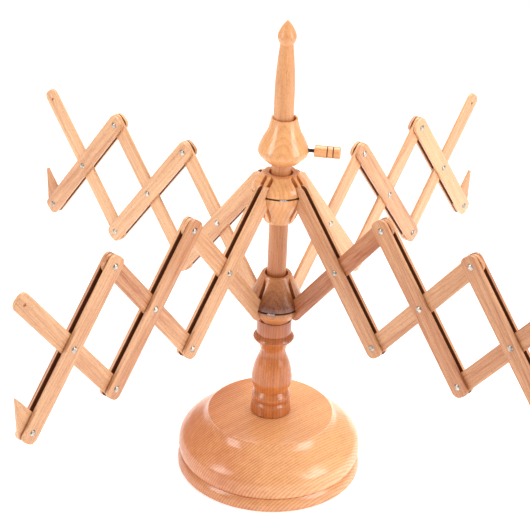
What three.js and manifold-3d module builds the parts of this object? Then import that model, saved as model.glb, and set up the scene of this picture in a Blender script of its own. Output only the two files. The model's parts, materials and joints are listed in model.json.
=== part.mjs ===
/**
 * Tabletop yarn swift: a folding wooden reel that holds a skein of yarn while it is wound.
 *
 * A turned stand carries a dowel shaft. A lower hub turns on the column's top, an upper hub slides
 * on the shaft, and four lazy-tong arms of riveted slats join the two hubs. Each arm is three
 * crossings long: single slats rise outwards, and pairs of slats fall outwards on both sides of
 * them. A bulb-shaped collar with a thumbscrew locks the upper hub's height.
 *
 * Frame: millimetres, +Z up, origin at the centre of the base's underside. The arms lie along
 * +X, +Y, -X and -Y.
 */
import * as THREE from 'three';
import { mergeVertices } from 'three/addons/utils/BufferGeometryUtils.js';
import Module from 'manifold-3d';

const wasm = await Module();
wasm.setup();

// ---------------------------------------------------------------- driving dimensions (mm)

const CLEARANCE = 0.3; // gap left between neighbouring pieces
const EMBED = 0.8; // how far a rivet's head starts inside its slat
const OVERCUT = 2; // how far a cutting tool passes the surface that it opens

const BASE_RADIUS = 100;
const PLATE_HEIGHT = 13.4;
const PLATE_SHOULDER = 4.2; // how far the plate's side curves in towards its top
const PLATE_SHOULDER_DROP = 9.8; // height of that curve
const PLATE_ARRIS = 1.2; // rounding of the plate's lower edge
const DOME_SETBACK = 0.8; // from the plate's edge in to the dome's widest place
const DOME_HEIGHT = 50.2; // from the seam above the plate to the plateau's rim
const PLATEAU_RADIUS = 68;
const PLATEAU_CROWN = 1.5; // how far the plateau rises from its rim to the column

const COLUMN_FOOT_RADIUS = 22.1;
const COLUMN_FOOT_FLARE = 1.4;
const COLUMN_FOOT_HEIGHT = 14.2;
const BEAD_RADIUS = 21;
const BEAD_HEIGHT = 13.3;
const VASE_RADIUS = 22;
const VASE_HEIGHT = 45;
const NECK_RADIUS = 13.9;
const NECK_HEIGHT = 14;
const RING_RADIUS = 21.9;
const RING_HEIGHT = 10.5;
const COLUMN_TOP_WALL = 8.3; // round the shaft's socket
const COLUMN_TOP_HEIGHT = 17.1;
const GROOVE_DEPTH = 2.4;
const TENON_RADIUS = 11;
const TENON_LENGTH = 22;
const SOCKET_DEPTH = 45;

const SCREW_RADIUS = 2.5;
const SCREW_HEAD_RADIUS = 5.5;
const SCREW_HEAD_HEIGHT = 3;
const SCREW_RECESS = 1.2;
const SCREW_GRIP = 20; // thread length inside the column's tenon

const SHAFT_RADIUS = 10;
const SHAFT_STRAIGHT = 260; // from the column's top to where the taper starts
const SHAFT_TAPER = 43;
const SHAFT_TIP_RADIUS = 6.5;
const FINIAL_RADIUS = 9.3;
const FINIAL_HEIGHT = 24;

const HUB_LONG_SIDE = 34.6; // from the wire groove to the narrow end
const HUB_SHORT_SIDE = 18.6; // from the wire groove to the wide end
const HUB_PLAY = 2; // radial play on the shaft
const HUB_NARROW_WALL = 3.2; // round the bore at the narrow end
const HUB_WIDE_WALL = 6.2; // round the bore at the wide end
const HUB_SLOT_WALL = 4; // between the bore and the slots
const HUB_END_ROOM = 1.2; // between a slat's end and its slot's floor
const HUB_WIRE_DEPTH = 1; // from the hub's widest place in to the wire's middle line
const WIRE_RADIUS = 0.7;

const ARM_COUNT = 4;
const CELL_COUNT = 3;
const PIVOT_PITCH = 166.7; // first pivot to last pivot of one slat
const FOLD_ANGLE = THREE.MathUtils.degToRad(51.4); // slats above the horizontal
const SLAT_WIDTH = 18.8;
const SLAT_THICKNESS = 3.7;
const SLAT_OVERHANG = 10.7; // from the end pivots to the ends
const SLAT_CORNER = 7;
const FREE_HOLE_RADIUS = 1.7;
const RIVET_RADIUS = 1.5;
const RIVET_HEAD_RADIUS = 2.9;
const RIVET_HEAD_HEIGHT = 1.5;
const CLEAT_REACH = 36.8; // from the slat's middle line to the tip
const CLEAT_RISE = 23.7; // from the end pivot back to the tip, along the slat
const CLEAT_SEAT = 0.9; // how far the cleat's hidden edges lie inside the slats' edges

const COLLAR_GAP = 11.7; // above the upper hub
const COLLAR_RADIUS = 25.4;
const COLLAR_HEIGHT = 47;
const COLLAR_BELLY = 14.3; // height of the widest place
const COLLAR_PLAY = 1.5; // radial play on the shaft; the tight screw draws the collar to one side
const COLLAR_FOOT_WALL = 3.7; // round the bore at the foot
const COLLAR_RIM_WALL = 1.8; // round the bore at the rim

const THUMB_AZIMUTH = THREE.MathUtils.degToRad(33);
const THUMB_ROD_RADIUS = 2;
const THUMB_EXPOSED = 6; // bare rod between the collar and the knob
const KNOB_RADIUS = 6.15;
const KNOB_LENGTH = 26;
const KNOB_SOCKET = 15;
const KNOB_GROOVE = 0.5;
const KNOB_GROOVE_PLACES = [13, 19]; // from the knob's inner end

// ---------------------------------------------------------------- derived places

const DOME_RADIUS = BASE_RADIUS - DOME_SETBACK;
const DOME_Z = PLATE_HEIGHT + CLEARANCE;
const PLATEAU_Z = DOME_Z + DOME_HEIGHT;
const SEAT_Z = PLATEAU_Z + PLATEAU_CROWN;
const COLUMN_Z = SEAT_Z + CLEARANCE;
const COLUMN_HEIGHT = COLUMN_FOOT_HEIGHT + BEAD_HEIGHT + VASE_HEIGHT + NECK_HEIGHT + RING_HEIGHT
  + COLUMN_TOP_HEIGHT;
const COLUMN_TOP_Z = COLUMN_Z + COLUMN_HEIGHT;
const LOWER_PIVOT_Z = COLUMN_TOP_Z + CLEARANCE + HUB_SHORT_SIDE;
const CELL_HEIGHT = PIVOT_PITCH * Math.sin(FOLD_ANGLE);
const CELL_WIDTH = PIVOT_PITCH * Math.cos(FOLD_ANGLE);
const UPPER_PIVOT_Z = LOWER_PIVOT_Z + CELL_HEIGHT;
const COLLAR_Z = UPPER_PIVOT_Z + HUB_SHORT_SIDE + COLLAR_GAP;
const COLLAR_OFFSET = COLLAR_PLAY - CLEARANCE;
const THUMB_Z = COLLAR_Z + COLLAR_BELLY;
const INNER_FACE = SLAT_THICKNESS / 2 + CLEARANCE; // a paired slat's inner face, from the arm's middle
const OUTER_FACE = INNER_FACE + SLAT_THICKNESS;
const SCREW_HOLE_RADIUS = SCREW_RADIUS + CLEARANCE;
const SOCKET_RADIUS = SHAFT_RADIUS + CLEARANCE;
const COLUMN_TOP_RADIUS = SOCKET_RADIUS + COLUMN_TOP_WALL;
const HUB_BORE_RADIUS = SHAFT_RADIUS + HUB_PLAY;
const HUB_NARROW_RADIUS = HUB_BORE_RADIUS + HUB_NARROW_WALL;
const HUB_WIDE_RADIUS = HUB_BORE_RADIUS + HUB_WIDE_WALL;
const HUB_SLOT_FLOOR = HUB_BORE_RADIUS + HUB_SLOT_WALL;
const HUB_PIVOT_RADIUS = HUB_SLOT_FLOOR + SLAT_OVERHANG + HUB_END_ROOM;
const HUB_RADIUS = HUB_PIVOT_RADIUS + HUB_WIRE_DEPTH;
const COLLAR_BORE_RADIUS = SHAFT_RADIUS + COLLAR_PLAY;
const COLLAR_FOOT_RADIUS = COLLAR_BORE_RADIUS + COLLAR_FOOT_WALL;
const COLLAR_RIM_RADIUS = COLLAR_BORE_RADIUS + COLLAR_RIM_WALL;

// ---------------------------------------------------------------- mesh fineness

const BASE_SIDES = 32;
const COLUMN_SIDES = 20;
const SHAFT_SIDES = 16;
const HUB_SIDES = 24;
const COLLAR_SIDES = 24;
const KNOB_SIDES = 12;
const ROD_SIDES = 8;
const RIVET_SIDES = 6;
const WIRE_SIDES = 5;
const WIRE_STEPS = 32;
const CORNER_STEPS = 2;

const RIVET_HOLE_RADIUS = (RIVET_RADIUS + CLEARANCE / 2) / Math.cos(Math.PI / RIVET_SIDES);
const WIRE_SAG = HUB_PIVOT_RADIUS - Math.sqrt(HUB_PIVOT_RADIUS ** 2 - OUTER_FACE ** 2);
const WIRE_HOLE_RADIUS = (WIRE_RADIUS + WIRE_SAG + CLEARANCE) / Math.cos(Math.PI / RIVET_SIDES);

// ---------------------------------------------------------------- materials

const beech = new THREE.MeshStandardMaterial({ color: 0xe3a873, roughness: 0.42 });
const darkBeech = new THREE.MeshStandardMaterial({ color: 0xb9744c, roughness: 0.4 });
const slatBeech = new THREE.MeshStandardMaterial({ color: 0xe8b183, roughness: 0.5 });
const steel = new THREE.MeshStandardMaterial({ color: 0xb9bcc0, roughness: 0.3, metalness: 1 });
const blackSteel = new THREE.MeshStandardMaterial({ color: 0x3a3936, roughness: 0.45, metalness: 1 });

// ---------------------------------------------------------------- helpers

function spline(points, steps) {
  const curve = new THREE.SplineCurve(points.map(([r, z]) => new THREE.Vector2(r, z)));
  return curve.getPoints(steps).map((p) => [p.x, p.y]);
}

/** Turn an outline of [radius, height] points, listed from the bottom up, about the Z axis. */
function turned(points, sides) {
  const outline = points.map(([r, z]) => new THREE.Vector2(r, z));
  return new THREE.LatheGeometry(outline, sides).rotateX(Math.PI / 2);
}

function box(size, centre) {
  return new THREE.BoxGeometry(...size).translate(...centre);
}

function toSolid(geometry) {
  const bare = geometry.clone();
  bare.deleteAttribute('normal');
  bare.deleteAttribute('uv');
  const merged = mergeVertices(bare);
  return new wasm.Manifold(new wasm.Mesh({
    numProp: 3,
    vertProperties: new Float32Array(merged.attributes.position.array),
    triVerts: new Uint32Array(merged.index.array),
  }));
}

function toGeometry(solid) {
  const mesh = solid.getMesh();
  const geometry = new THREE.BufferGeometry();
  geometry.setAttribute('position', new THREE.BufferAttribute(mesh.vertProperties, 3));
  geometry.setIndex(new THREE.BufferAttribute(mesh.triVerts, 1));
  geometry.computeVertexNormals();
  return geometry;
}

function cut(geometry, tools) {
  return toGeometry(tools.reduce((solid, tool) => solid.subtract(toSolid(tool)), toSolid(geometry)));
}

function join(geometry, others) {
  return toGeometry(others.reduce((solid, other) => solid.add(toSolid(other)), toSolid(geometry)));
}

function addMesh(parent, name, geometry, material) {
  const mesh = new THREE.Mesh(geometry, material);
  mesh.name = name;
  parent.add(mesh);
  return mesh;
}

// ---------------------------------------------------------------- stand

function basePlate() {
  const headTop = SCREW_RECESS + SCREW_HEAD_HEIGHT;
  return turned([
    [SCREW_HEAD_RADIUS + CLEARANCE, 0],
    [BASE_RADIUS - PLATE_ARRIS, 0],
    [BASE_RADIUS, PLATE_ARRIS],
    [BASE_RADIUS, PLATE_HEIGHT - PLATE_SHOULDER_DROP],
    [BASE_RADIUS - PLATE_SHOULDER * 0.24, PLATE_HEIGHT - PLATE_SHOULDER_DROP * 0.5],
    [BASE_RADIUS - PLATE_SHOULDER * 0.57, PLATE_HEIGHT - PLATE_SHOULDER_DROP * 0.22],
    [BASE_RADIUS - PLATE_SHOULDER, PLATE_HEIGHT],
    [SCREW_HOLE_RADIUS, PLATE_HEIGHT],
    [SCREW_HOLE_RADIUS, headTop + CLEARANCE],
    [SCREW_HEAD_RADIUS + CLEARANCE, SCREW_RECESS],
    [SCREW_HEAD_RADIUS + CLEARANCE, 0],
  ], BASE_SIDES);
}

/** The dome's flank bulges low, then runs in a cove up to the plateau's rim. */
function baseDome() {
  const overhang = DOME_RADIUS - PLATEAU_RADIUS;
  const flankShares = [
    [0.93, 0], [1, 0.22], [0.92, 0.43], [0.67, 0.6], [0.4, 0.72], [0.16, 0.83], [0.03, 0.94], [0, 0.98],
  ];
  const flank = spline(
    flankShares.map(([out, up]) => [PLATEAU_RADIUS + out * overhang, DOME_Z + up * DOME_HEIGHT]), 12);
  const mortiseRadius = TENON_RADIUS + CLEARANCE;
  const mortiseFloor = COLUMN_Z - TENON_LENGTH - CLEARANCE;
  return turned([
    [SCREW_HOLE_RADIUS, DOME_Z],
    ...flank,
    [PLATEAU_RADIUS - 1, PLATEAU_Z],
    [(PLATEAU_RADIUS + COLUMN_FOOT_RADIUS) / 2, PLATEAU_Z + PLATEAU_CROWN * 0.7],
    [COLUMN_FOOT_RADIUS, SEAT_Z],
    [mortiseRadius, SEAT_Z],
    [mortiseRadius, mortiseFloor],
    [SCREW_HOLE_RADIUS, mortiseFloor],
    [SCREW_HOLE_RADIUS, DOME_Z],
  ], BASE_SIDES);
}

function baseScrew() {
  const headTop = SCREW_RECESS + SCREW_HEAD_HEIGHT;
  const tip = COLUMN_Z - TENON_LENGTH + SCREW_GRIP;
  return turned([
    [0, SCREW_RECESS],
    [SCREW_HEAD_RADIUS, SCREW_RECESS],
    [SCREW_RADIUS, headTop],
    [SCREW_RADIUS, tip - SCREW_RADIUS],
    [0, tip],
  ], ROD_SIDES);
}

function column() {
  const beadZ = COLUMN_Z + COLUMN_FOOT_HEIGHT;
  const vaseZ = beadZ + BEAD_HEIGHT;
  const neckZ = vaseZ + VASE_HEIGHT;
  const ringZ = neckZ + NECK_HEIGHT;
  const topZ = ringZ + RING_HEIGHT;
  const beadSeat = BEAD_RADIUS - GROOVE_DEPTH;
  const vaseSeat = VASE_RADIUS - GROOVE_DEPTH * 2;
  const ringSeat = COLUMN_TOP_RADIUS - GROOVE_DEPTH / 2;
  return turned([
    [SCREW_HOLE_RADIUS, COLUMN_Z - TENON_LENGTH],
    [TENON_RADIUS, COLUMN_Z - TENON_LENGTH],
    [TENON_RADIUS, COLUMN_Z],
    [COLUMN_FOOT_RADIUS, COLUMN_Z],
    [COLUMN_FOOT_RADIUS - COLUMN_FOOT_FLARE, beadZ - GROOVE_DEPTH],
    ...spline([[beadSeat, beadZ], [BEAD_RADIUS, beadZ + BEAD_HEIGHT * 0.45], [vaseSeat, vaseZ]], 4),
    ...spline([
      [vaseSeat + 1.4, vaseZ + 0.8],
      [VASE_RADIUS, vaseZ + VASE_HEIGHT * 0.29],
      [VASE_RADIUS - 3, vaseZ + VASE_HEIGHT * 0.68],
      [NECK_RADIUS, neckZ],
      [NECK_RADIUS + 0.7, neckZ + NECK_HEIGHT * 0.55],
      [ringSeat, ringZ],
    ], 8),
    ...spline([[ringSeat + 1, ringZ + 0.5], [RING_RADIUS, ringZ + RING_HEIGHT / 2], [ringSeat, topZ]], 4),
    [COLUMN_TOP_RADIUS, topZ + 1.2],
    [COLUMN_TOP_RADIUS, COLUMN_TOP_Z - 1],
    [COLUMN_TOP_RADIUS - 1, COLUMN_TOP_Z],
    [SOCKET_RADIUS, COLUMN_TOP_Z],
    [SOCKET_RADIUS, COLUMN_TOP_Z - SOCKET_DEPTH],
    [0, COLUMN_TOP_Z - SOCKET_DEPTH],
    [0, COLUMN_Z - TENON_LENGTH + SCREW_GRIP + CLEARANCE],
    [SCREW_HOLE_RADIUS, COLUMN_Z - TENON_LENGTH + SCREW_GRIP + CLEARANCE],
    [SCREW_HOLE_RADIUS, COLUMN_Z - TENON_LENGTH],
  ], COLUMN_SIDES);
}

function shaft() {
  const bottom = COLUMN_TOP_Z - SOCKET_DEPTH + CLEARANCE;
  const taperZ = COLUMN_TOP_Z + SHAFT_STRAIGHT;
  const shoulderZ = taperZ + SHAFT_TAPER;
  const tipZ = shoulderZ + FINIAL_HEIGHT;
  return turned([
    [0, bottom],
    [SHAFT_RADIUS, bottom],
    [SHAFT_RADIUS, taperZ],
    [(SHAFT_RADIUS + SHAFT_TIP_RADIUS) / 2, taperZ + SHAFT_TAPER * 0.62],
    [SHAFT_TIP_RADIUS, shoulderZ],
    ...spline([
      [SHAFT_TIP_RADIUS + 0.6, shoulderZ + 0.6],
      [FINIAL_RADIUS, shoulderZ + FINIAL_HEIGHT * 0.34],
      [FINIAL_RADIUS * 0.55, shoulderZ + FINIAL_HEIGHT * 0.75],
      [0, tipZ],
    ], 6),
  ], SHAFT_SIDES);
}

// ---------------------------------------------------------------- hubs

/** One hub with its wire groove at Z 0, its narrow end up, and slots cut at the given offsets. */
function hub(slots) {
  const grooveHalf = WIRE_RADIUS + CLEARANCE;
  const grooveFloor = HUB_PIVOT_RADIUS - grooveHalf;
  const body = turned([
    [HUB_BORE_RADIUS, -HUB_SHORT_SIDE],
    [HUB_WIDE_RADIUS, -HUB_SHORT_SIDE],
    ...spline([
      [HUB_WIDE_RADIUS + 2.4, -HUB_SHORT_SIDE + 3.2],
      [HUB_RADIUS - 1.6, -HUB_SHORT_SIDE * 0.4],
      [HUB_RADIUS, -grooveHalf],
    ], 3),
    [grooveFloor, -grooveHalf],
    [grooveFloor, grooveHalf],
    ...spline([
      [HUB_RADIUS, grooveHalf],
      [HUB_RADIUS - 1.2, HUB_LONG_SIDE * 0.22],
      [(HUB_RADIUS + HUB_NARROW_RADIUS) / 2, HUB_LONG_SIDE * 0.57],
      [HUB_NARROW_RADIUS + 1, HUB_LONG_SIDE - 1.5],
    ], 5),
    [HUB_NARROW_RADIUS, HUB_LONG_SIDE],
    [HUB_BORE_RADIUS, HUB_LONG_SIDE],
    [HUB_BORE_RADIUS, -HUB_SHORT_SIDE],
  ], HUB_SIDES);
  const reach = HUB_RADIUS + OVERCUT - HUB_SLOT_FLOOR;
  const height = HUB_LONG_SIDE + HUB_SHORT_SIDE + 2 * OVERCUT;
  const middle = (HUB_LONG_SIDE - HUB_SHORT_SIDE) / 2;
  const tools = [];
  for (let arm = 0; arm < ARM_COUNT; arm += 1) {
    for (const [near, far] of slots) {
      const slot = box([reach, far - near, height], [HUB_SLOT_FLOOR + reach / 2, (near + far) / 2, middle]);
      tools.push(slot.rotateZ((arm * 2 * Math.PI) / ARM_COUNT));
    }
  }
  return cut(body, tools);
}

function hubWire() {
  return new THREE.TorusGeometry(HUB_PIVOT_RADIUS, WIRE_RADIUS, WIRE_SIDES, WIRE_STEPS);
}

// ---------------------------------------------------------------- arms

function circle(x, radius, sides) {
  const points = [];
  for (let i = 0; i < sides; i += 1) {
    const angle = (i * 2 * Math.PI) / sides;
    points.push(new THREE.Vector2(x + radius * Math.cos(angle), radius * Math.sin(angle)));
  }
  return new THREE.Path(points);
}

function slatOutline() {
  const halfWidth = SLAT_WIDTH / 2;
  const left = -SLAT_OVERHANG + SLAT_CORNER;
  const right = PIVOT_PITCH + SLAT_OVERHANG - SLAT_CORNER;
  const rise = halfWidth - SLAT_CORNER;
  const corners = [[right, -rise, -90], [right, rise, 0], [left, rise, 90], [left, -rise, 180]];
  const points = [];
  for (const [x, y, start] of corners) {
    for (let i = 0; i <= CORNER_STEPS; i += 1) {
      const angle = THREE.MathUtils.degToRad(start + (90 * i) / CORNER_STEPS);
      points.push(new THREE.Vector2(x + SLAT_CORNER * Math.cos(angle), y + SLAT_CORNER * Math.sin(angle)));
    }
  }
  return points;
}

/**
 * One slat lying along +X from its first pivot at the origin, upright in the XZ plane, with its
 * thickness from Y yLow to yLow + SLAT_THICKNESS. Holes are [distance, radius, sides] triples.
 */
function slat(holes, yLow) {
  const shape = new THREE.Shape(slatOutline());
  shape.holes = holes.map(([x, radius, sides]) => circle(x, radius, sides));
  const plate = new THREE.ExtrudeGeometry(shape, { depth: SLAT_THICKNESS, bevelEnabled: false });
  return plate.rotateX(Math.PI / 2).translate(0, yLow + SLAT_THICKNESS, 0);
}

/** A rivet along Y at distance x: its head starts inside the front slat, its tail clears the back one. */
function rivet(x) {
  const tail = OUTER_FACE + CLEARANCE;
  const outline = [
    [0, -tail - RIVET_HEAD_HEIGHT],
    [RIVET_HEAD_RADIUS * 0.7, -tail - RIVET_HEAD_HEIGHT * 0.7],
    [RIVET_HEAD_RADIUS, -tail],
    [RIVET_RADIUS, -tail],
    [RIVET_RADIUS, OUTER_FACE - EMBED],
    [RIVET_HEAD_RADIUS, OUTER_FACE - EMBED],
    [RIVET_HEAD_RADIUS, OUTER_FACE],
    [RIVET_HEAD_RADIUS * 0.7, OUTER_FACE + RIVET_HEAD_HEIGHT * 0.7],
    [0, OUTER_FACE + RIVET_HEAD_HEIGHT],
  ];
  return turned(outline, RIVET_SIDES).rotateX(-Math.PI / 2).translate(x, 0, 0);
}

/** The pointed cleat between the outermost pair's lower ends, in the slat's own axes. */
function cleat() {
  const inner = SLAT_WIDTH / 2 - CLEAT_SEAT;
  const upperSlope = Math.tan(2 * FOLD_ANGLE - Math.PI / 2);
  const upperEdge = (reach) => -CLEAT_RISE + (CLEAT_REACH - reach) * upperSlope;
  const heel = SLAT_OVERHANG - CLEAT_SEAT;
  const points = [
    [upperEdge(-inner), -inner],
    [heel - SLAT_CORNER, -inner],
    [heel - SLAT_CORNER * 0.3, -inner + SLAT_CORNER * 0.3],
    [heel, -inner + SLAT_CORNER],
    [heel, inner],
    [-CLEAT_RISE, CLEAT_REACH],
  ];
  const shape = new THREE.Shape(points.map(([x, y]) => new THREE.Vector2(x, y)));
  shape.holes = [circle(0, RIVET_HOLE_RADIUS, RIVET_SIDES)];
  const plate = new THREE.ExtrudeGeometry(shape, { depth: SLAT_THICKNESS, bevelEnabled: false });
  return plate.rotateX(Math.PI / 2).translate(0, SLAT_THICKNESS / 2, 0);
}

function addArm(parent, label, azimuth) {
  const arm = new THREE.Group();
  arm.rotation.z = azimuth;
  parent.add(arm);
  const rivetHole = (x) => [x, RIVET_HOLE_RADIUS, RIVET_SIDES];
  const wireHole = [0, WIRE_HOLE_RADIUS, RIVET_SIDES];
  const freeHole = [PIVOT_PITCH, FREE_HOLE_RADIUS, ROD_SIDES];
  for (let cell = 1; cell <= CELL_COUNT; cell += 1) {
    const start = HUB_PIVOT_RADIUS + (cell - 1) * CELL_WIDTH;
    const innermost = cell === 1;
    const outermost = cell === CELL_COUNT;
    const firstHole = innermost ? wireHole : rivetHole(0);
    const lastHole = outermost ? freeHole : rivetHole(PIVOT_PITCH);

    const single = slat([firstHole, rivetHole(PIVOT_PITCH / 2), lastHole], -SLAT_THICKNESS / 2);
    const rising = addMesh(arm, `arm_${label}_single_${cell}`, single, slatBeech);
    rising.position.set(start, 0, LOWER_PIVOT_Z);
    rising.rotation.y = -FOLD_ANGLE;

    const rivets = [rivet(PIVOT_PITCH / 2), rivet(PIVOT_PITCH)];
    if (!innermost) {
      rivets.push(rivet(0));
    }
    const front = join(slat(innermost ? [wireHole] : [], INNER_FACE), rivets);
    const back = slat([firstHole, rivetHole(PIVOT_PITCH / 2), rivetHole(PIVOT_PITCH)], -OUTER_FACE);
    const pair = new THREE.Group();
    pair.position.set(start, 0, UPPER_PIVOT_Z);
    pair.rotation.y = FOLD_ANGLE;
    arm.add(pair);
    addMesh(pair, `arm_${label}_double_${cell}_front`, front, slatBeech);
    addMesh(pair, `arm_${label}_double_${cell}_back`, back, slatBeech);
    if (outermost) {
      addMesh(pair, `arm_${label}_cleat`, cleat(), beech).position.x = PIVOT_PITCH;
    }
  }
}

// ---------------------------------------------------------------- lock collar and thumbscrew

function lockCollar() {
  const body = turned([
    [COLLAR_BORE_RADIUS, 0],
    [COLLAR_FOOT_RADIUS, 0],
    ...spline([
      [COLLAR_FOOT_RADIUS + 1.2, 0.6],
      [COLLAR_RADIUS - 1.4, COLLAR_BELLY * 0.56],
      [COLLAR_RADIUS, COLLAR_BELLY],
      [COLLAR_RADIUS - 4.1, COLLAR_HEIGHT * 0.53],
      [COLLAR_RIM_RADIUS + 4, COLLAR_HEIGHT * 0.69],
      [COLLAR_RIM_RADIUS + 1.3, COLLAR_HEIGHT * 0.87],
      [COLLAR_RIM_RADIUS, COLLAR_HEIGHT],
    ], 9),
    [COLLAR_BORE_RADIUS, COLLAR_HEIGHT],
    [COLLAR_BORE_RADIUS, 0],
  ], COLLAR_SIDES);
  const hole = new THREE.CylinderGeometry(
    THUMB_ROD_RADIUS + CLEARANCE * 1.5, THUMB_ROD_RADIUS + CLEARANCE * 1.5, COLLAR_RADIUS, ROD_SIDES);
  hole.rotateZ(Math.PI / 2).translate(COLLAR_RADIUS / 2 + SHAFT_RADIUS / 2, 0, COLLAR_BELLY);
  return cut(body, [hole]);
}

/** Rod and knob are turned pieces whose axis points away from the shaft. */
function thumbRod(knobStart) {
  const start = SHAFT_RADIUS + CLEARANCE;
  const end = knobStart + KNOB_SOCKET - CLEARANCE;
  return turned([[0, start], [THUMB_ROD_RADIUS, start], [THUMB_ROD_RADIUS, end], [0, end]], ROD_SIDES);
}

function thumbKnob(knobStart) {
  const bore = THUMB_ROD_RADIUS + CLEARANCE;
  const end = knobStart + KNOB_LENGTH;
  const grooves = [];
  for (const place of KNOB_GROOVE_PLACES) {
    const z = knobStart + place;
    grooves.push([KNOB_RADIUS, z - KNOB_GROOVE]);
    grooves.push([KNOB_RADIUS - KNOB_GROOVE, z]);
    grooves.push([KNOB_RADIUS, z + KNOB_GROOVE]);
  }
  return turned([
    [bore, knobStart],
    [KNOB_RADIUS - 0.6, knobStart],
    [KNOB_RADIUS, knobStart + 0.6],
    ...grooves,
    [KNOB_RADIUS, end - 0.6],
    [KNOB_RADIUS - 0.6, end],
    [0, end],
    [0, knobStart + KNOB_SOCKET],
    [bore, knobStart + KNOB_SOCKET],
    [bore, knobStart],
  ], KNOB_SIDES);
}

function addLock(parent) {
  const lock = new THREE.Group();
  lock.rotation.z = THUMB_AZIMUTH;
  parent.add(lock);
  addMesh(lock, 'lock_collar', lockCollar(), beech).position.set(COLLAR_OFFSET, 0, COLLAR_Z);
  const screw = new THREE.Group();
  screw.position.z = THUMB_Z;
  screw.rotation.y = Math.PI / 2;
  lock.add(screw);
  const knobStart = COLLAR_OFFSET + COLLAR_RADIUS + THUMB_EXPOSED;
  addMesh(screw, 'thumbscrew_rod', thumbRod(knobStart), blackSteel);
  addMesh(screw, 'thumbscrew_knob', thumbKnob(knobStart), beech);
}

// ---------------------------------------------------------------- assembly

const swift = new THREE.Group();
addMesh(swift, 'base_plate', basePlate(), beech);
addMesh(swift, 'base_dome', baseDome(), beech);
addMesh(swift, 'base_screw', baseScrew(), steel);
addMesh(swift, 'column', column(), beech);
addMesh(swift, 'shaft', shaft(), beech);

const hubSlotEdge = INNER_FACE - CLEARANCE;
const singleSlots = [[-INNER_FACE, INNER_FACE]];
const pairSlots = [[hubSlotEdge, OUTER_FACE + CLEARANCE], [-OUTER_FACE - CLEARANCE, -hubSlotEdge]];
addMesh(swift, 'lower_hub', hub(singleSlots), darkBeech).position.z = LOWER_PIVOT_Z;
addMesh(swift, 'lower_wire', hubWire(), steel).position.z = LOWER_PIVOT_Z;
const upperHub = addMesh(swift, 'upper_hub', hub(pairSlots), beech);
upperHub.position.z = UPPER_PIVOT_Z;
upperHub.rotation.x = Math.PI;
addMesh(swift, 'upper_wire', hubWire(), steel).position.z = UPPER_PIVOT_Z;

['a', 'b', 'c', 'd'].slice(0, ARM_COUNT).forEach((label, index) => {
  addArm(swift, label, (index * 2 * Math.PI) / ARM_COUNT);
});
addLock(swift);

export default swift;
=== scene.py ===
"""A tabletop umbrella yarn swift in turned and sawn beech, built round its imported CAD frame.

A turned stand carries a dowel shaft. Four lazy-tong arms of riveted slats join a lower hub, which
turns on the column, to an upper hub, which slides on the shaft under a bulb-shaped lock collar.

Lengths are in metres and +Z is up, as in the frame. Places come from the frame's own boxes and
joints, and each sub-assembly's own sizes are the fields of its class.
"""

from __future__ import annotations

import json
import logging
import math
import random
from dataclasses import dataclass, field
from enum import Enum
from functools import cache
from typing import Iterable, Sequence

import bmesh
import bpy
from mathutils import Matrix, Vector
from mathutils.geometry import tessellate_polygon

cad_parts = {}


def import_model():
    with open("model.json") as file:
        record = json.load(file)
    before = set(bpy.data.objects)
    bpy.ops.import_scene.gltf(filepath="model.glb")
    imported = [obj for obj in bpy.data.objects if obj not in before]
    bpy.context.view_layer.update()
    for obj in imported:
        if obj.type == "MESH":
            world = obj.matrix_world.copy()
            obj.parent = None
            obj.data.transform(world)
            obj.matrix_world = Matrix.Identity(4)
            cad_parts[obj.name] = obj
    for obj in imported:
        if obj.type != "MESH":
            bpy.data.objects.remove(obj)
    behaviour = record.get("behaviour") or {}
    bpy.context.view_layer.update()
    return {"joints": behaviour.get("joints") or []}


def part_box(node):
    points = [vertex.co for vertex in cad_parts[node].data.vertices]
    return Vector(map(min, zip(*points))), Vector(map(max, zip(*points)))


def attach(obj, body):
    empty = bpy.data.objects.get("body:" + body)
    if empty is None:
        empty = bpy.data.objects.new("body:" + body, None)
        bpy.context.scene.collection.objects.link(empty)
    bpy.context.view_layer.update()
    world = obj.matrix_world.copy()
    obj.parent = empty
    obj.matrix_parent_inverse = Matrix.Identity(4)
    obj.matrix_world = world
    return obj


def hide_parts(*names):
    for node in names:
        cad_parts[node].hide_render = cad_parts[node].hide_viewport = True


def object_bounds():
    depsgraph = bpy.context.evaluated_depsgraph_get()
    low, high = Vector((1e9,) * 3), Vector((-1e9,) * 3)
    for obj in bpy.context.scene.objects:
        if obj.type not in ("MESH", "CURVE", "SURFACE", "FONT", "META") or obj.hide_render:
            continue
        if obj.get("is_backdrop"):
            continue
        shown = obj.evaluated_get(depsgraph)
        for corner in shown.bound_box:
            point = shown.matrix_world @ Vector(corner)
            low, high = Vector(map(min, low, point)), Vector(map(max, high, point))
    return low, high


LOG = logging.getLogger("yarn_swift")

Corner = tuple[float, float, float]
Spot = tuple[float, float]
Colour = tuple[float, float, float, float]

GRAIN_PLACE = "grain_place"
# per-point colour shift: the boards' own tone, and on several pieces also painted light and shade
TONE_AND_PAINTED_LIGHT = "board_tone"
FULL_TURN = 2 * math.pi
SHARP_EDGE = math.radians(32)
SEAM = 0.0003  # gap left between neighbouring pieces
HOLE_SIDES = 20
MITRE_LIMIT = 0.3  # a sharp corner's mitre reaches no further than this allows
SCREEN_WHITE = 255
SCREEN_TOE = 0.055
SCREEN_POWER = 2.4
NOISE_SPAN = (0.3, 0.7)  # where nearly all of a noise's values lie
WAVE_RATE = 20  # the wave texture's own factor, in radians per unit
ARM_LABELS = ("a", "b", "c", "d")
# Tone shift of each arm's slats: partly the boards' own tone, partly painted light and shade. Back arms
# b and c are painted paler for back-lit haze, and arm a darker as painted shade.
ARM_TONES_AND_PAINTED_LIGHT = {"a": 0.3, "b": -0.25, "c": -0.15, "d": 0.05}


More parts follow.
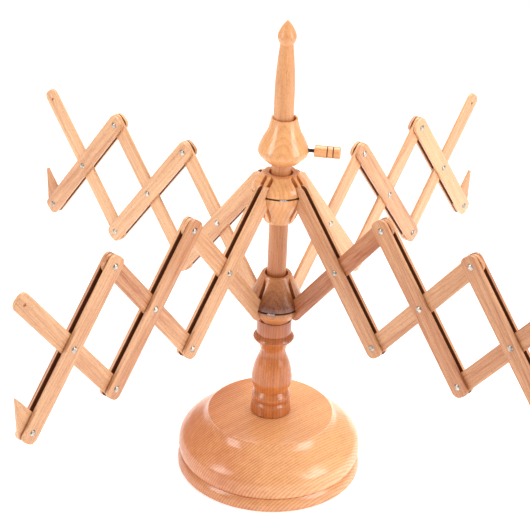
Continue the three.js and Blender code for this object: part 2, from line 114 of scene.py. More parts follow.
def tint(red: int, green: int, blue: int) -> Colour:
    """Turn a colour as it looks on a screen into the renderer's linear values.

    Args:
        red: Red share, 0 to 255.
        green: Green share, 0 to 255.
        blue: Blue share, 0 to 255.

    Returns:
        The linear colour, fully opaque.
    """
    linear = []
    for share in (red, green, blue):
        linear.append(((share / SCREEN_WHITE + SCREEN_TOE) / (1 + SCREEN_TOE)) ** SCREEN_POWER)
    return (linear[0], linear[1], linear[2], 1.0)


# ------------------------------------------------------------------ outlines


def flowing(spots: Sequence[Spot], steps: int) -> list[Corner]:
    """Run one smooth curve through all the given spots, as corners that need no easing.

    Args:
        spots: Places that the curve passes through.
        steps: Number of short lines between two spots.

    Returns:
        The curve's corners, first and last included.
    """
    run: list[Corner] = []
    last = len(spots) - 1
    for i in range(last):
        before, start = spots[max(i - 1, 0)], spots[i]
        end, after = spots[i + 1], spots[min(i + 2, last)]
        for step in range(steps):
            t = step / steps
            spot = []
            for axis in (0, 1):
                leave = (end[axis] - before[axis]) / 2
                arrive = (after[axis] - start[axis]) / 2
                gap = end[axis] - start[axis]
                spot.append(
                    start[axis]
                    + leave * t
                    + (3 * gap - 2 * leave - arrive) * t**2
                    + (leave + arrive - 2 * gap) * t**3
                )
            run.append((spot[0], spot[1], 0.0))
    run.append((*spots[last], 0.0))
    return run


def eased(corners: Sequence[Corner], steps: int, closed: bool = True) -> list[Spot]:
    """Round the corners of an outline, each by its own radius.

    Args:
        corners: Corners as (x, y, radius); a radius of 0 stays sharp.
        steps: Number of short lines in each rounding.
        closed: Whether the last corner joins the first.

    Returns:
        The spots of the rounded outline.
    """
    spots: list[Spot] = []
    count = len(corners)
    for i, (x, y, radius) in enumerate(corners):
        here = Vector((x, y))
        end = not closed and i in (0, count - 1)
        if radius <= 0 or end:
            spots.append((x, y))
            continue
        back = Vector(corners[i - 1][:2]) - here
        ahead = Vector(corners[(i + 1) % count][:2]) - here
        half = back.angle(ahead) / 2
        reach = radius / math.tan(half)
        inward = (back.normalized() + ahead.normalized()).normalized()
        centre = here + inward * (radius / math.sin(half))
        start = here + back.normalized() * reach - centre
        sweep = start.angle_signed(here + ahead.normalized() * reach - centre)
        for step in range(steps + 1):
            turn = Matrix.Rotation(-sweep * step / steps, 2)
            spot = centre + turn @ start
            spots.append((spot.x, spot.y))
    return spots


def turns(sides: int) -> list[float]:
    """Give the angles of evenly spaced places round a circle."""
    return [FULL_TURN * side / sides for side in range(sides)]


def polar(radius: float, angle: float) -> Spot:
    """Give the spot at a distance and an angle from the middle."""
    return radius * math.cos(angle), radius * math.sin(angle)


# ------------------------------------------------------------------ mesh work


def join_rings(
    body: bmesh.types.BMesh,
    rings: Sequence[Sequence[bmesh.types.BMVert]],
    closed: bool,
    capped: bool = False,
) -> None:
    """Lay faces between each ring of points and the next.

    Args:
        body: The body that holds the points.
        rings: The rings; a ring of one point is a tip.
        closed: Whether the last ring joins the first.
        capped: Whether the first and the last ring are each covered by a face.
    """
    joins = list(zip(rings, rings[1:]))
    if closed:
        joins.append((rings[-1], rings[0]))
    for lower, upper in joins:
        sides = max(len(lower), len(upper))
        for side in range(sides):
            after = (side + 1) % sides
            loop = [
                lower[side % len(lower)],
                lower[after % len(lower)],
                upper[after % len(upper)],
                upper[side % len(upper)],
            ]
            around = list(dict.fromkeys(loop))
            if len(around) > 2:
                body.faces.new(around)
    if capped:
        body.faces.new(rings[0])
        body.faces.new(rings[-1])


def turned(outline: Sequence[Spot], sides: int, closed: bool = True) -> bmesh.types.BMesh:
    """Turn an outline of (radius, height) spots about the Z axis.

    Args:
        outline: The outline; a radius of 0 becomes one point on the axis.
        sides: Number of sides of the turned form.
        closed: Whether the last spot joins the first, as on a bored piece.

    Returns:
        The closed body.
    """
    body = bmesh.new()
    rings: list[list[bmesh.types.BMVert]] = []
    for radius, height in outline:
        if radius <= 0:
            rings.append([body.verts.new((0, 0, height))])
            continue
        rings.append([body.verts.new((*polar(radius, angle), height)) for angle in turns(sides)])
    join_rings(body, rings, closed)
    bmesh.ops.recalc_face_normals(body, faces=body.faces)
    return body


def offset_inward(loop: Sequence[Spot], by: float) -> list[Spot]:
    """Move a closed loop of spots to its left by a distance, keeping its corners mitred.

    Args:
        loop: The loop, with the material on its left.
        by: How far each edge moves.

    Returns:
        The moved loop, spot for spot.
    """
    moved: list[Spot] = []
    count = len(loop)
    for i in range(count):
        here = Vector(loop[i])
        back = (here - Vector(loop[i - 1])).normalized()
        ahead = (Vector(loop[(i + 1) % count]) - here).normalized()
        left = Vector((-back.y - ahead.y, back.x + ahead.x)).normalized()
        spread = max(left.dot(Vector((-ahead.y, ahead.x))), MITRE_LIMIT)
        spot = here + left * (by / spread)
        moved.append((spot.x, spot.y))
    return moved


def sawn(
    outline: Sequence[Spot], holes: Sequence[Sequence[Spot]], thickness: float, arris: float, steps: int
) -> bmesh.types.BMesh:
    """Saw a flat board in the XZ plane, centred on Y 0, with drilled holes and rounded edges.

    Args:
        outline: Outer edge, anticlockwise.
        holes: Inner edges, each clockwise.
        thickness: The board's thickness.
        arris: Radius of the rounding on every edge.
        steps: Number of short lines in each rounding.

    Returns:
        The closed body.
    """
    body = bmesh.new()
    loops = [list(outline), *[list(hole) for hole in holes]]
    half = thickness / 2
    faces: dict[int, list[list[bmesh.types.BMVert]]] = {-1: [], 1: []}
    for number, loop in enumerate(loops):
        round_off = arris if number == 0 else arris / 2
        levels: list[tuple[float, float]] = []
        for step in range(steps + 1):
            angle = math.pi / 2 * step / steps
            levels.append((round_off * (1 - math.sin(angle)), half - round_off * (1 - math.cos(angle))))
        rows = []
        for inward, level in [(i, -y) for i, y in levels] + [(i, y) for i, y in reversed(levels)]:
            rows.append([body.verts.new((x, level, z)) for x, z in offset_inward(loop, inward)])
        join_rings(body, rows, closed=False)
        faces[-1].append(rows[0])
        faces[1].append(rows[-1])
    for side in (-1, 1):
        rims = faces[side]
        flat = [vert for rim in rims for vert in rim]
        places = [[Vector((v.co.x, v.co.z, 0)) for v in rim] for rim in rims]
        for triangle in tessellate_polygon(places):
            face = body.faces.new([flat[i] for i in triangle])
            face.smooth = False
            face.tag = True
    bmesh.ops.recalc_face_normals(body, faces=body.faces)
    for face in body.faces:
        face.smooth = not face.tag
    return body


def drawn(path: Sequence[Vector], radius: float, sides: int, closed: bool) -> bmesh.types.BMesh:
    """Draw a round wire along a path.

    Args:
        path: The wire's middle line.
        radius: The wire's radius.
        sides: Number of sides of the wire.
        closed: Whether the end joins the start.

    Returns:
        The closed body.
    """
    body = bmesh.new()
    rings = []
    count = len(path)
    across = Vector((0, 0, 1))
    for i, place in enumerate(path):
        before = path[i - 1] if closed or i > 0 else place
        after = path[(i + 1) % count] if closed or i < count - 1 else place
        along = (after - before).normalized()
        across = (across - along * across.dot(along)).normalized()
        third = along.cross(across)
        ring = []
        for angle in turns(sides):
            spoke = across * math.cos(angle) + third * math.sin(angle)
            ring.append(body.verts.new(place + spoke * radius))
        rings.append(ring)
    join_rings(body, rings, closed, capped=not closed)
    bmesh.ops.recalc_face_normals(body, faces=body.faces)
    return body


def boxed(low: Vector, high: Vector) -> bmesh.types.BMesh:
    """Make a plain block between two corners, as a cutting tool."""
    body = bmesh.new()
    bmesh.ops.create_cube(body, size=1)
    for vert in body.verts:
        vert.co = Vector([lo + (c + 0.5) * (hi - lo) for lo, hi, c in zip(low, high, vert.co)])
    return body


def drilled(centre: Spot, radius: float) -> list[Spot]:
    """Give the edge of a drilled hole, clockwise.

    Args:
        centre: The hole's middle.
        radius: Its radius.

    Returns:
        The spots.
    """
    spots = []
    for angle in turns(HOLE_SIDES):
        x, y = polar(radius, -angle)
        spots.append((centre[0] + x, centre[1] + y))
    return spots


def shown(name: str, body: bmesh.types.BMesh, place: Matrix | None = None) -> bpy.types.Object:
    """Put a body into the scene as a smooth object with its sharp edges kept.

    Args:
        name: The piece's name.
        body: The body, which is freed.
        place: Where it stands; None for the frame's own origin.

    Returns:
        The object.
    """
    mesh = bpy.data.meshes.new(name)
    if not any(face.tag for face in body.faces):
        for face in body.faces:
            face.smooth = True
    body.to_mesh(mesh)
    body.free()
    mesh.set_sharp_from_angle(angle=SHARP_EDGE)
    piece = bpy.data.objects.new(name, mesh)
    piece.matrix_world = place or Matrix.Identity(4)
    bpy.context.scene.collection.objects.link(piece)
    return piece


def cut(piece: bpy.types.Object, tools: Sequence[bmesh.types.BMesh]) -> None:
    """Cut tools out of a piece for good.

    Args:
        piece: The piece that is cut, in its own axes.
        tools: The cutting bodies, which are freed.
    """
    gathered = bmesh.new()
    for tool in tools:
        mesh = bpy.data.meshes.new("tool")
        tool.to_mesh(mesh)
        tool.free()
        gathered.from_mesh(mesh)
        bpy.data.meshes.remove(mesh)
    cutter = shown("cutter", gathered, piece.matrix_world.copy())
    saw = piece.modifiers.new("cut", "BOOLEAN")
    saw.operation = "DIFFERENCE"
    saw.solver = "EXACT"
    saw.object = cutter
    bpy.context.view_layer.update()
    evaluated = piece.evaluated_get(bpy.context.evaluated_depsgraph_get())
    result = bpy.data.meshes.new_from_object(evaluated)
    piece.modifiers.clear()
    piece.data = result
    for polygon in result.polygons:
        polygon.use_smooth = True
    result.set_sharp_from_angle(angle=SHARP_EDGE)
    bpy.data.meshes.remove(cutter.data)


# ------------------------------------------------------------------ wood, steel and their finishes


class Bench:
    """Lays out the shader nodes of one material."""

    def __init__(self, name: str) -> None:
        """Start a material with an empty set of nodes."""
        self.material = bpy.data.materials.new(name)
        self.material.use_nodes = True
        self.tree = self.material.node_tree
        self.tree.nodes.clear()

    def node(self, kind: str, **settings: object) -> bpy.types.Node:
        """Add one node.

        Args:
            kind: The node's type.
            settings: Properties to set on it.

        Returns:
            The node.
        """
        made = self.tree.nodes.new(kind)
        for key, value in settings.items():
            setattr(made, key, value)
        return made

    def plug(self, socket: bpy.types.NodeSocket, value: object) -> None:
        """Join a socket to another, or set its own value."""
        if isinstance(value, bpy.types.NodeSocket):
            self.tree.links.new(value, socket)
        else:
            socket.default_value = value

    def sum_of(self, operation: str, first: object, second: object = 0.0) -> bpy.types.NodeSocket:
        """Work out one number from two.

        Args:
            operation: The kind of sum.
            first: A socket or number.
            second: A socket or number.

        Returns:
            The result's socket.
        """
        made = self.node("ShaderNodeMath", operation=operation)
        self.plug(made.inputs[0], first)
        self.plug(made.inputs[1], second)
        return made.outputs[0]

    def stretched(self, place: bpy.types.NodeSocket, by: Sequence[float]) -> bpy.types.NodeSocket:
        """Multiply a place by a number along each axis."""
        made = self.node("ShaderNodeVectorMath", operation="MULTIPLY")
        self.plug(made.inputs[0], place)
        self.plug(made.inputs[1], tuple(by))
        return made.outputs[0]

    def noise(self, place: bpy.types.NodeSocket, by: Sequence[float], detail: float) -> bpy.types.Node:
        """Add soft noise over a stretched place."""
        made = self.node("ShaderNodeTexNoise")
        self.plug(made.inputs["Vector"], self.stretched(place, by))
        self.plug(made.inputs["Scale"], 1.0)
        self.plug(made.inputs["Detail"], detail)
        return made

    def written(self, attribute: str, output: str) -> bpy.types.NodeSocket:
        """Read an attribute that is written on the mesh."""
        return self.node("ShaderNodeAttribute", attribute_name=attribute).outputs[output]

    def bump(self, strength: float, distance: float, height: object) -> bpy.types.NodeSocket:
        """Give the surface a fine relief."""
        made = self.node("ShaderNodeBump")
        self.plug(made.inputs["Strength"], strength)
        self.plug(made.inputs["Distance"], distance)
        self.plug(made.inputs["Height"], height)
        return made.outputs[0]

    def ranged(
        self, value: bpy.types.NodeSocket, start: float, end: float, low: float, high: float
    ) -> bpy.types.NodeSocket:
        """Map a number from one range to another, held inside it.

        Args:
            value: The number.
            start: Where the first range starts.
            end: Where the first range ends.
            low: Result at the start.
            high: Result at the end.

        Returns:
            The result's socket.
        """
        made = self.node("ShaderNodeMapRange", clamp=True)
        for index, number in enumerate((value, start, end, low, high)):
            self.plug(made.inputs[index], number)
        return made.outputs[0]

    def blended(self, share: object, first: object, second: object) -> bpy.types.NodeSocket:
        """Mix two colours."""
        made = self.node("ShaderNodeMix", data_type="RGBA")
        self.plug(made.inputs["Factor"], share)
        self.plug(made.inputs[6], first)
        self.plug(made.inputs[7], second)
        return made.outputs[2]

    def finished(self, **sockets: object) -> bpy.types.Material:
        """Close the material with one shader.

        Args:
            sockets: Values or sockets by the shader's own names, with _ for spaces.

        Returns:
            The material.
        """
        shader = self.node("ShaderNodeBsdfPrincipled")
        for name, value in sockets.items():
            self.plug(shader.inputs[name.replace("_", " ")], value)
        output = self.node("ShaderNodeOutputMaterial")
        self.tree.links.new(shader.outputs[0], output.inputs["Surface"])
        return self.material


class Weave(Enum):
    """How fine each layer of a finish is, per metre along the grain and across it."""

    SWAY = (7.0, 45.0, 45.0)
    FIBRE = (45.0, 1300.0, 1300.0)
    STREAK = (6.0, 170.0, 170.0)
    PATCH = (3.0, 14.0, 14.0)
    FLECK = (420.0, 2300.0, 2300.0)
    WEAR = (260.0, 260.0, 260.0)
    SCRATCH = (900.0, 5200.0, 5200.0)
    TOOTH = (3.0, 3.0, 3.0)


@dataclass(frozen=True)
class Beech:
    """Lacquered beech: growth rings, fibres, short dark flecks and a satin coat."""

    name: str
    pale: Colour
    deep: Colour
    fleck: Colour = tint(120, 62, 36)
    ring_pitch: float = 0.0024
    ring_wander: float = 1.6
    ring_share: float = 0.4
    fibre_share: float = 0.45
    streak_share: float = 0.45
    patch_share: float = 0.4
    fleck_share: float = 0.5
    sway: float = 0.006
    roughness: float = 0.46
    coat: float = 0.75
    coat_roughness: float = 0.2
    coat_ior: float = 1.65
    specular: float = 0.25
    relief: float = 0.00006
    bump_strength: float = 0.6
    gloss_swing: Spot = (0.05, 0.07)
    ring_stretch: Corner = (0.25, 1.0, 1.0)
    ring_detail: float = 2.0
    ring_detail_scale: float = 0.25
    late_wood: Spot = (0.45, 0.92)
    ring_close: Spot = (0.93, 1.0)
    fleck_edge: Spot = (0.6, 0.72)
    tone_span: Spot = (-0.5, 0.9)

    def material(self) -> bpy.types.Material:
        """Build the shader.

        Returns:
            The material, which follows each piece's own grain places.
        """
        bench = Bench(self.name)
        log = bench.written(GRAIN_PLACE, "Vector")
        sway = bench.noise(log, Weave.SWAY.value, 1.0).outputs["Color"]
        centred = bench.node("ShaderNodeVectorMath", operation="MULTIPLY_ADD")
        bench.plug(centred.inputs[0], sway)
        bench.plug(centred.inputs[1], (0.0, self.sway, self.sway))
        bench.plug(centred.inputs[2], log)
        bent = centred.outputs[0]

        rings = bench.node(
            "ShaderNodeTexWave", wave_type="RINGS", rings_direction="X", wave_profile="SAW"
        )
        bench.plug(rings.inputs["Vector"], bench.stretched(bent, self.ring_stretch))
        bench.plug(rings.inputs["Scale"], FULL_TURN / WAVE_RATE / self.ring_pitch)
        bench.plug(rings.inputs["Distortion"], self.ring_wander)
        bench.plug(rings.inputs["Detail"], self.ring_detail)
        bench.plug(rings.inputs["Detail Scale"], self.ring_detail_scale)
        late = bench.ranged(rings.outputs["Fac"], *self.late_wood, 0.0, 1.0)
        close = bench.ranged(rings.outputs["Fac"], *self.ring_close, 1.0, 0.0)
        ring = bench.sum_of("MULTIPLY", late, close)

        fibre = bench.noise(log, Weave.FIBRE.value, 3.0).outputs["Fac"]
        streak = bench.noise(bent, Weave.STREAK.value, 3.0).outputs["Fac"]
        patch = bench.noise(log, Weave.PATCH.value, 1.0).outputs["Fac"]
        dash = bench.noise(log, Weave.FLECK.value, 1.0).outputs["Fac"]
        fleck = bench.ranged(dash, *self.fleck_edge, 0.0, 1.0)

        tone = bench.sum_of("MULTIPLY", ring, self.ring_share)
        for layer, share in (
            (fibre, self.fibre_share),
            (streak, self.streak_share),
            (patch, self.patch_share),
        ):
            swing = bench.ranged(layer, *NOISE_SPAN, -share / 2, share / 2)
            tone = bench.sum_of("ADD", tone, swing)
        # each point's tone shift, which on several pieces is painted light and shade
        board = bench.written(TONE_AND_PAINTED_LIGHT, "Fac")
        tone = bench.ranged(bench.sum_of("ADD", tone, board), *self.tone_span, 0.0, 1.0)
        colour = bench.blended(tone, self.pale, self.deep)
        colour = bench.blended(bench.sum_of("MULTIPLY", fleck, self.fleck_share), colour, self.fleck)

        height = bench.sum_of("SUBTRACT", fibre, fleck)
        smooth, rough = self.roughness - self.gloss_swing[0], self.roughness + self.gloss_swing[1]
        return bench.finished(
            Base_Color=colour,
            Roughness=bench.ranged(streak, *NOISE_SPAN, smooth, rough),
            Normal=bench.bump(self.bump_strength, self.relief, height),
            Specular_IOR_Level=self.specular,
            Coat_Weight=self.coat,
            Coat_Roughness=self.coat_roughness,
            Coat_IOR=self.coat_ior,
        )


@dataclass(frozen=True)
class Steel:
    """Bare or blackened steel with fine wear."""

    name: str
    bright: Colour
    dull: Colour
    roughness: float = 0.24
    relief: float = 0.00002
    bump_strength: float = 0.4
    gloss_swing: Spot = (0.06, 0.1)
    wear_span: Spot = (0.35, 0.7)

    def material(self) -> bpy.types.Material:
        """Build the shader.

        Returns:
            The material.
        """
        bench = Bench(self.name)
        place = bench.written(GRAIN_PLACE, "Vector")
        cloud = bench.noise(place, Weave.WEAR.value, 3.0).outputs["Fac"]
        scratch = bench.noise(place, Weave.SCRATCH.value, 2.0).outputs["Fac"]
        worn = bench.ranged(cloud, *self.wear_span, 0.0, 1.0)
        smooth, rough = self.roughness - self.gloss_swing[0], self.roughness + self.gloss_swing[1]
        return bench.finished(
            Base_Color=bench.blended(worn, self.bright, self.dull),
            Metallic=1.0,
            Roughness=bench.ranged(scratch, *NOISE_SPAN, smooth, rough),
            Normal=bench.bump(self.bump_strength, self.relief, scratch),
        )


@dataclass(frozen=True)
class Backdrop:
    """Matt white card with the least trace of tooth."""

    name: str
    white: Colour
    shade: Colour
    glow: float

    def material(self) -> bpy.types.Material:
        """Build the shader.

        Returns:
            The material.
        """
        bench = Bench(self.name)
        place = bench.node("ShaderNodeTexCoord").outputs["Object"]
        cloud = bench.noise(place, Weave.TOOTH.value, 2.0).outputs["Fac"]
        return bench.finished(
            Base_Color=bench.blended(cloud, self.white, self.shade),
            Roughness=1.0,
            Specular_IOR_Level=0.0,
            Emission_Color=self.white,
            Emission_Strength=self.glow,
        )


class Finish(Enum):
    """The finishes that the pieces take."""

    BASE = Beech(
        "lacquered_base_beech",
        tint(255, 192, 132),
        tint(194, 110, 58),
        ring_pitch=0.0027,
        ring_share=0.62,
        ring_wander=1.3,
        fibre_share=0.3,
        streak_share=0.3,
        sway=0.002,
    )
    TURNED = Beech("lacquered_turned_beech", tint(214, 124, 56), tint(146, 66, 22), ring_pitch=0.003)
    SHAFT = Beech(
        "lacquered_shaft_beech",
        tint(248, 182, 122),
        tint(166, 86, 36),
        ring_pitch=0.003,
        ring_share=0.1,
        fibre_share=0.28,
        streak_share=0.15,
        patch_share=0.2,
        coat=0.5,
    )
    DARK = Beech(
        "lacquered_dark_beech",
        tint(232, 150, 88),
        tint(104, 46, 16),
        ring_pitch=0.003,
        ring_share=0.15,
        streak_share=0.2,
        patch_share=0.2,
    )
    PALE = Beech(
        "lacquered_pale_beech",
        tint(246, 180, 118),
        tint(204, 126, 70),
        ring_pitch=0.0038,
        ring_share=0.4,
    )
    SLAT = Beech(
        "lacquered_slat_beech",
        tint(242, 190, 142),
        tint(168, 88, 44),
        ring_pitch=0.0028,
        ring_share=0.2,
        coat=0.4,
    )
    # Painted shade: the inner faces of each pair are coloured dark and uncoated, standing in for the
    # shade in the narrow gap between the slats.
    INNER = Beech("bare_inner_beech", tint(146, 86, 52), tint(92, 50, 28), coat=0.0, ring_share=0.2)
    BURNT = Beech("burnt_line", tint(96, 50, 28), tint(52, 26, 14), coat=0.2, ring_share=0.2)
    BRIGHT = Steel("polished_steel", tint(222, 222, 224), tint(176, 176, 178))
    RIVET = Steel("rivet_steel", tint(214, 206, 196), tint(132, 120, 108), roughness=0.26)
    # Dull dark wire, darkened further as painted shade of the groove it lies in.
    WIRE = Steel("drawn_wire", tint(84, 62, 46), tint(52, 36, 26), roughness=0.5)
    BLACK = Steel("blackened_steel", tint(92, 88, 84), tint(52, 48, 46), roughness=0.4)
    CARD = Backdrop("white_card", (0.92, 0.92, 0.92, 1.0), (0.9, 0.9, 0.9, 1.0), 0.34)

    @cache
    def look(self) -> bpy.types.Material:
        """Give the finish's material, made the first time it is asked for."""
        return self.value.material()


class Slot(Enum):
    """The record's material slots."""

    BASE = "base_beech"
    TURNED = "turned_beech"
    DARK = "dark_beech"
    SLAT = "slat_beech"
    BRIGHT = "bright_steel"
    BLACK = "black_steel"


@dataclass(frozen=True)
class Log:
    """Where in a log a piece was cut: its grain's direction and the way to the log's heart."""

    along: tuple[float, float, float]
    to_heart: tuple[float, float, float]
    heart_distance: float = 0.12
    shift: float = 3.0
    wander: float = 0.02
    # tones run along tone_way from end to end; on several pieces they are painted light and shade
    tones: tuple[float, ...] = (0.0, 0.0)
    tone_way: tuple[float, float, float] | None = None

    def lay(self, piece: bpy.types.Object, seed: str) -> None:
        """Write each point's place in the log on the piece, with its tone shift, which on several
        pieces is painted light and shade.

        Args:
            piece: The finished mesh, in its own axes.
            seed: Any words, which choose the stretch of log.
        """
        along = Vector(self.along).normalized()
        inward = Vector(self.to_heart)
        inward = (inward - along * inward.dot(along)).normalized()
        third = along.cross(inward)
        draw = random.Random(seed)
        start = draw.uniform(-self.shift, self.shift)
        wander = draw.uniform(-self.wander, self.wander)
        mesh = piece.data
        way = Vector(self.tone_way or self.along).normalized()
        reaches = [vert.co.dot(way) for vert in mesh.vertices]
        low, high = min(reaches), max(reaches)
        values: list[float] = []
        tones: list[float] = []
        for vert, reach in zip(mesh.vertices, reaches):
            values += [
                vert.co.dot(along) + start,
                self.heart_distance + wander - vert.co.dot(inward),
                vert.co.dot(third) + wander,
            ]
            spread = (reach - low) / (high - low) * (len(self.tones) - 1)
            step = min(int(spread), len(self.tones) - 2)
            tones.append(self.tones[step] + (self.tones[step + 1] - self.tones[step]) * (spread - step))
        mesh.attributes.new(GRAIN_PLACE, "FLOAT_VECTOR", "POINT").data.foreach_set("vector", values)
        mesh.attributes.new(TONE_AND_PAINTED_LIGHT, "FLOAT", "POINT").data.foreach_set("value", tones)


BAR = Log((0, 0, 1), (1, 0, 0))  # drawn steel, along its own Z

# ------------------------------------------------------------------ sub-assemblies


@dataclass
class SubAssembly:
    """Pieces that are made and finished together."""

    made: list[bpy.types.Object] = field(default_factory=list, init=False)

    def keep(
        self,
        piece: bpy.types.Object,
        body: str,
        slot: Slot,
        finish: Finish,
        log: Log,
        stands_for: Sequence[str] = (),
    ) -> bpy.types.Object:
        """Finish a piece, let it ride on its body and keep it.

        Args:
            piece: The piece, in place.
            body: The CAD body that carries it.
            slot: The record's slot for its finish; not used.
            finish: Its finish.
            log: How it was cut from the log.
            stands_for: CAD nodes that it replaces.

        Returns:
            The piece.
        """
        log.lay(piece, piece.name)
        piece.data.transform(piece.matrix_world)
        piece.matrix_world = Matrix.Identity(4)
        piece.data.materials.clear()
        piece.data.materials.append(finish.look())
        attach(piece, body)
        if stands_for:
            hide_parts(*stands_for)
        self.made.append(piece)
        return piece

    def keep_turned(
        self, node: str, outline: Sequence[Spot], sides: int, slot: Slot, finish: Finish, log: Log
    ) -> None:
        """Turn a piece of the stand and keep it in place of its CAD node.

        Args:
            node: The CAD node, which the piece is named after.
            outline: Its outline; one that starts on the axis ends on it too.
            sides: Number of sides of the turned form.
            slot: The record's slot for its finish.
            finish: Its finish.
            log: How it was cut from the log.
        """
        piece = shown(f"{node}_turned", turned(outline, sides, closed=outline[0][0] > 0))
        self.keep(piece, "stand", slot, finish, log, [node])

    def repaint(self, piece: bpy.types.Object, finish: Finish, faces: Iterable[int]) -> None:
        """Give some faces of a kept piece another finish.

        Args:
            piece: The kept piece.
            finish: Their finish.
            faces: The faces' numbers.
        """
        piece.data.materials.append(finish.look())
        for face in faces:
            piece.data.polygons[face].material_index = len(piece.data.materials) - 1

    def report(self) -> None:
        """Do nothing; the pieces are not logged."""


def height_of(node: str) -> tuple[float, float]:
    """Give a CAD node's lowest and highest level."""
    low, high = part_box(node)
    return low.z, high.z


@dataclass
class Base(SubAssembly):
    """Round base: a plate, a dome with a coved flank, and the screw that holds the column."""

    plate_radius: float = 0.1
    plate_shoulder: float = 0.0042
    plate_shoulder_drop: float = 0.0098
    shoulder_bend: float = math.radians(45)
    shoulder_steps: int = 10
    plate_arris: float = 0.0012
    dome_radius: float = 0.0992
    plateau_radius: float = 0.068
    plateau_crown: float = 0.0015
    foot_radius: float = 0.0221
    mortise_radius: float = 0.0113
    mortise_depth: float = 0.022
    screw_hole: float = 0.0028
    head_radius: float = 0.0055
    head_height: float = 0.003
    head_recess: float = 0.0012
    screw_radius: float = 0.0025
    screw_arris: float = 0.0004
    tip_arris: float = 0.0005
    cross_arm: float = 0.003025
    cross_blade: float = 0.00066
    cross_depth: float = 0.00165
    flank: tuple[Spot, ...] = (
        (0.86, 0.0),
        (0.95, 0.045),
        (1.0, 0.22),
        (0.92, 0.43),
        (0.67, 0.6),
        (0.4, 0.72),
        (0.16, 0.83),
        (0.03, 0.94),
        (0.0, 0.98),
    )
    rim_arris: float = 0.0012
    crown_rise: float = 0.7
    curve_steps: int = 8
    ease_steps: int = 4
    sides: int = 160
    screw_sides: int = 32
    # The tones run along tone_way, the camera's right: darker on the left, paler on the right. This is
    # partly the wood's own tone and partly painted light from the right window.
    log: Log = Log(
        (0.117, 0.993, 0.0),
        (0.93, -0.11, -0.34),
        0.4,
        wander=0.0,
        tones=(0.75, 0.45, 0.0, -0.25, -0.4),
        tone_way=(0.77, 0.64, 0.0),
    )

    def build(self) -> None:
        """Turn the plate and the dome, and make the screw."""
        self.build_plate()
        self.build_dome()
        self.build_screw()

    def build_plate(self) -> None:
        """Turn the plate, with a curved shoulder and a countersunk hole."""
        bottom, top = height_of("base_plate")
        head = self.head_radius + SEAM
        shoulder = []
        for step in range(self.shoulder_steps + 1):
            bend = self.shoulder_bend * step / self.shoulder_steps
            inward = self.plate_shoulder * (1 - math.cos(bend)) / (1 - math.cos(self.shoulder_bend))
            drop = self.plate_shoulder_drop * (1 - math.sin(bend) / math.sin(self.shoulder_bend))
            shoulder.append((self.plate_radius - inward, top - drop, 0.0))
        outline = eased(
            [
                (head, bottom, 0),
                (self.plate_radius, bottom, self.plate_arris),
                *shoulder,
                (self.screw_hole, top, 0),
                (self.screw_hole, self.head_recess + self.head_height + SEAM, 0),
                (head, self.head_recess, 0),
            ],
            self.curve_steps,
        )
        self.keep_turned("base_plate", outline, self.sides, Slot.BASE, Finish.BASE, self.log)

    def build_dome(self) -> None:
        """Turn the dome: a low bulge, a cove, and a gently crowned plateau."""
        bottom, seat = height_of("base_dome")
        rim = seat - self.plateau_crown
        plateau = self.plateau_radius
        overhang = self.dome_radius - plateau
        flank = [(plateau + out * overhang, bottom + up * (rim - bottom)) for out, up in self.flank]
        floor = seat - self.mortise_depth
        corners = [
            (self.screw_hole, bottom, 0.0),
            *flowing(flank, self.curve_steps),
            (plateau - self.rim_arris / 4, rim - self.rim_arris / 6, 0.0),
            (plateau - self.rim_arris, rim, 0.0),
            ((plateau + self.foot_radius) / 2, rim + self.plateau_crown * self.crown_rise, 0.0),
            (self.foot_radius, seat, 0.0),
            (self.mortise_radius, seat, 0.0),
            (self.mortise_radius, floor, 0.0),
            (self.screw_hole, floor, 0.0),
        ]
        outline = eased(corners, self.ease_steps)
        self.keep_turned("base_dome", outline, self.sides, Slot.BASE, Finish.BASE, self.log)

    def build_screw(self) -> None:
        """Turn the screw and cut the cross in its head."""
        bottom, tip = height_of("base_screw")
        outline = eased(
            [
                (0, bottom, 0),
                (self.head_radius, bottom, self.screw_arris),
                (self.screw_radius, bottom + self.head_height, 0),
                (self.screw_radius, tip - self.screw_radius, self.tip_arris),
                (0, tip, 0),
            ],
            self.ease_steps,
            closed=False,
        )
        screw = shown("base_screw_turned", turned(outline, self.screw_sides, closed=False))
        arm, blade, depth = self.cross_arm, self.cross_blade, self.cross_depth
        low = bottom - depth
        cut(
            screw,
            [
                boxed(Vector((-arm, -blade, low)), Vector((arm, blade, bottom + depth))),
                boxed(Vector((-blade, -arm, low)), Vector((blade, arm, bottom + depth))),
            ],
        )
        self.keep(screw, "stand", Slot.BRIGHT, Finish.BRIGHT, BAR, ["base_screw"])


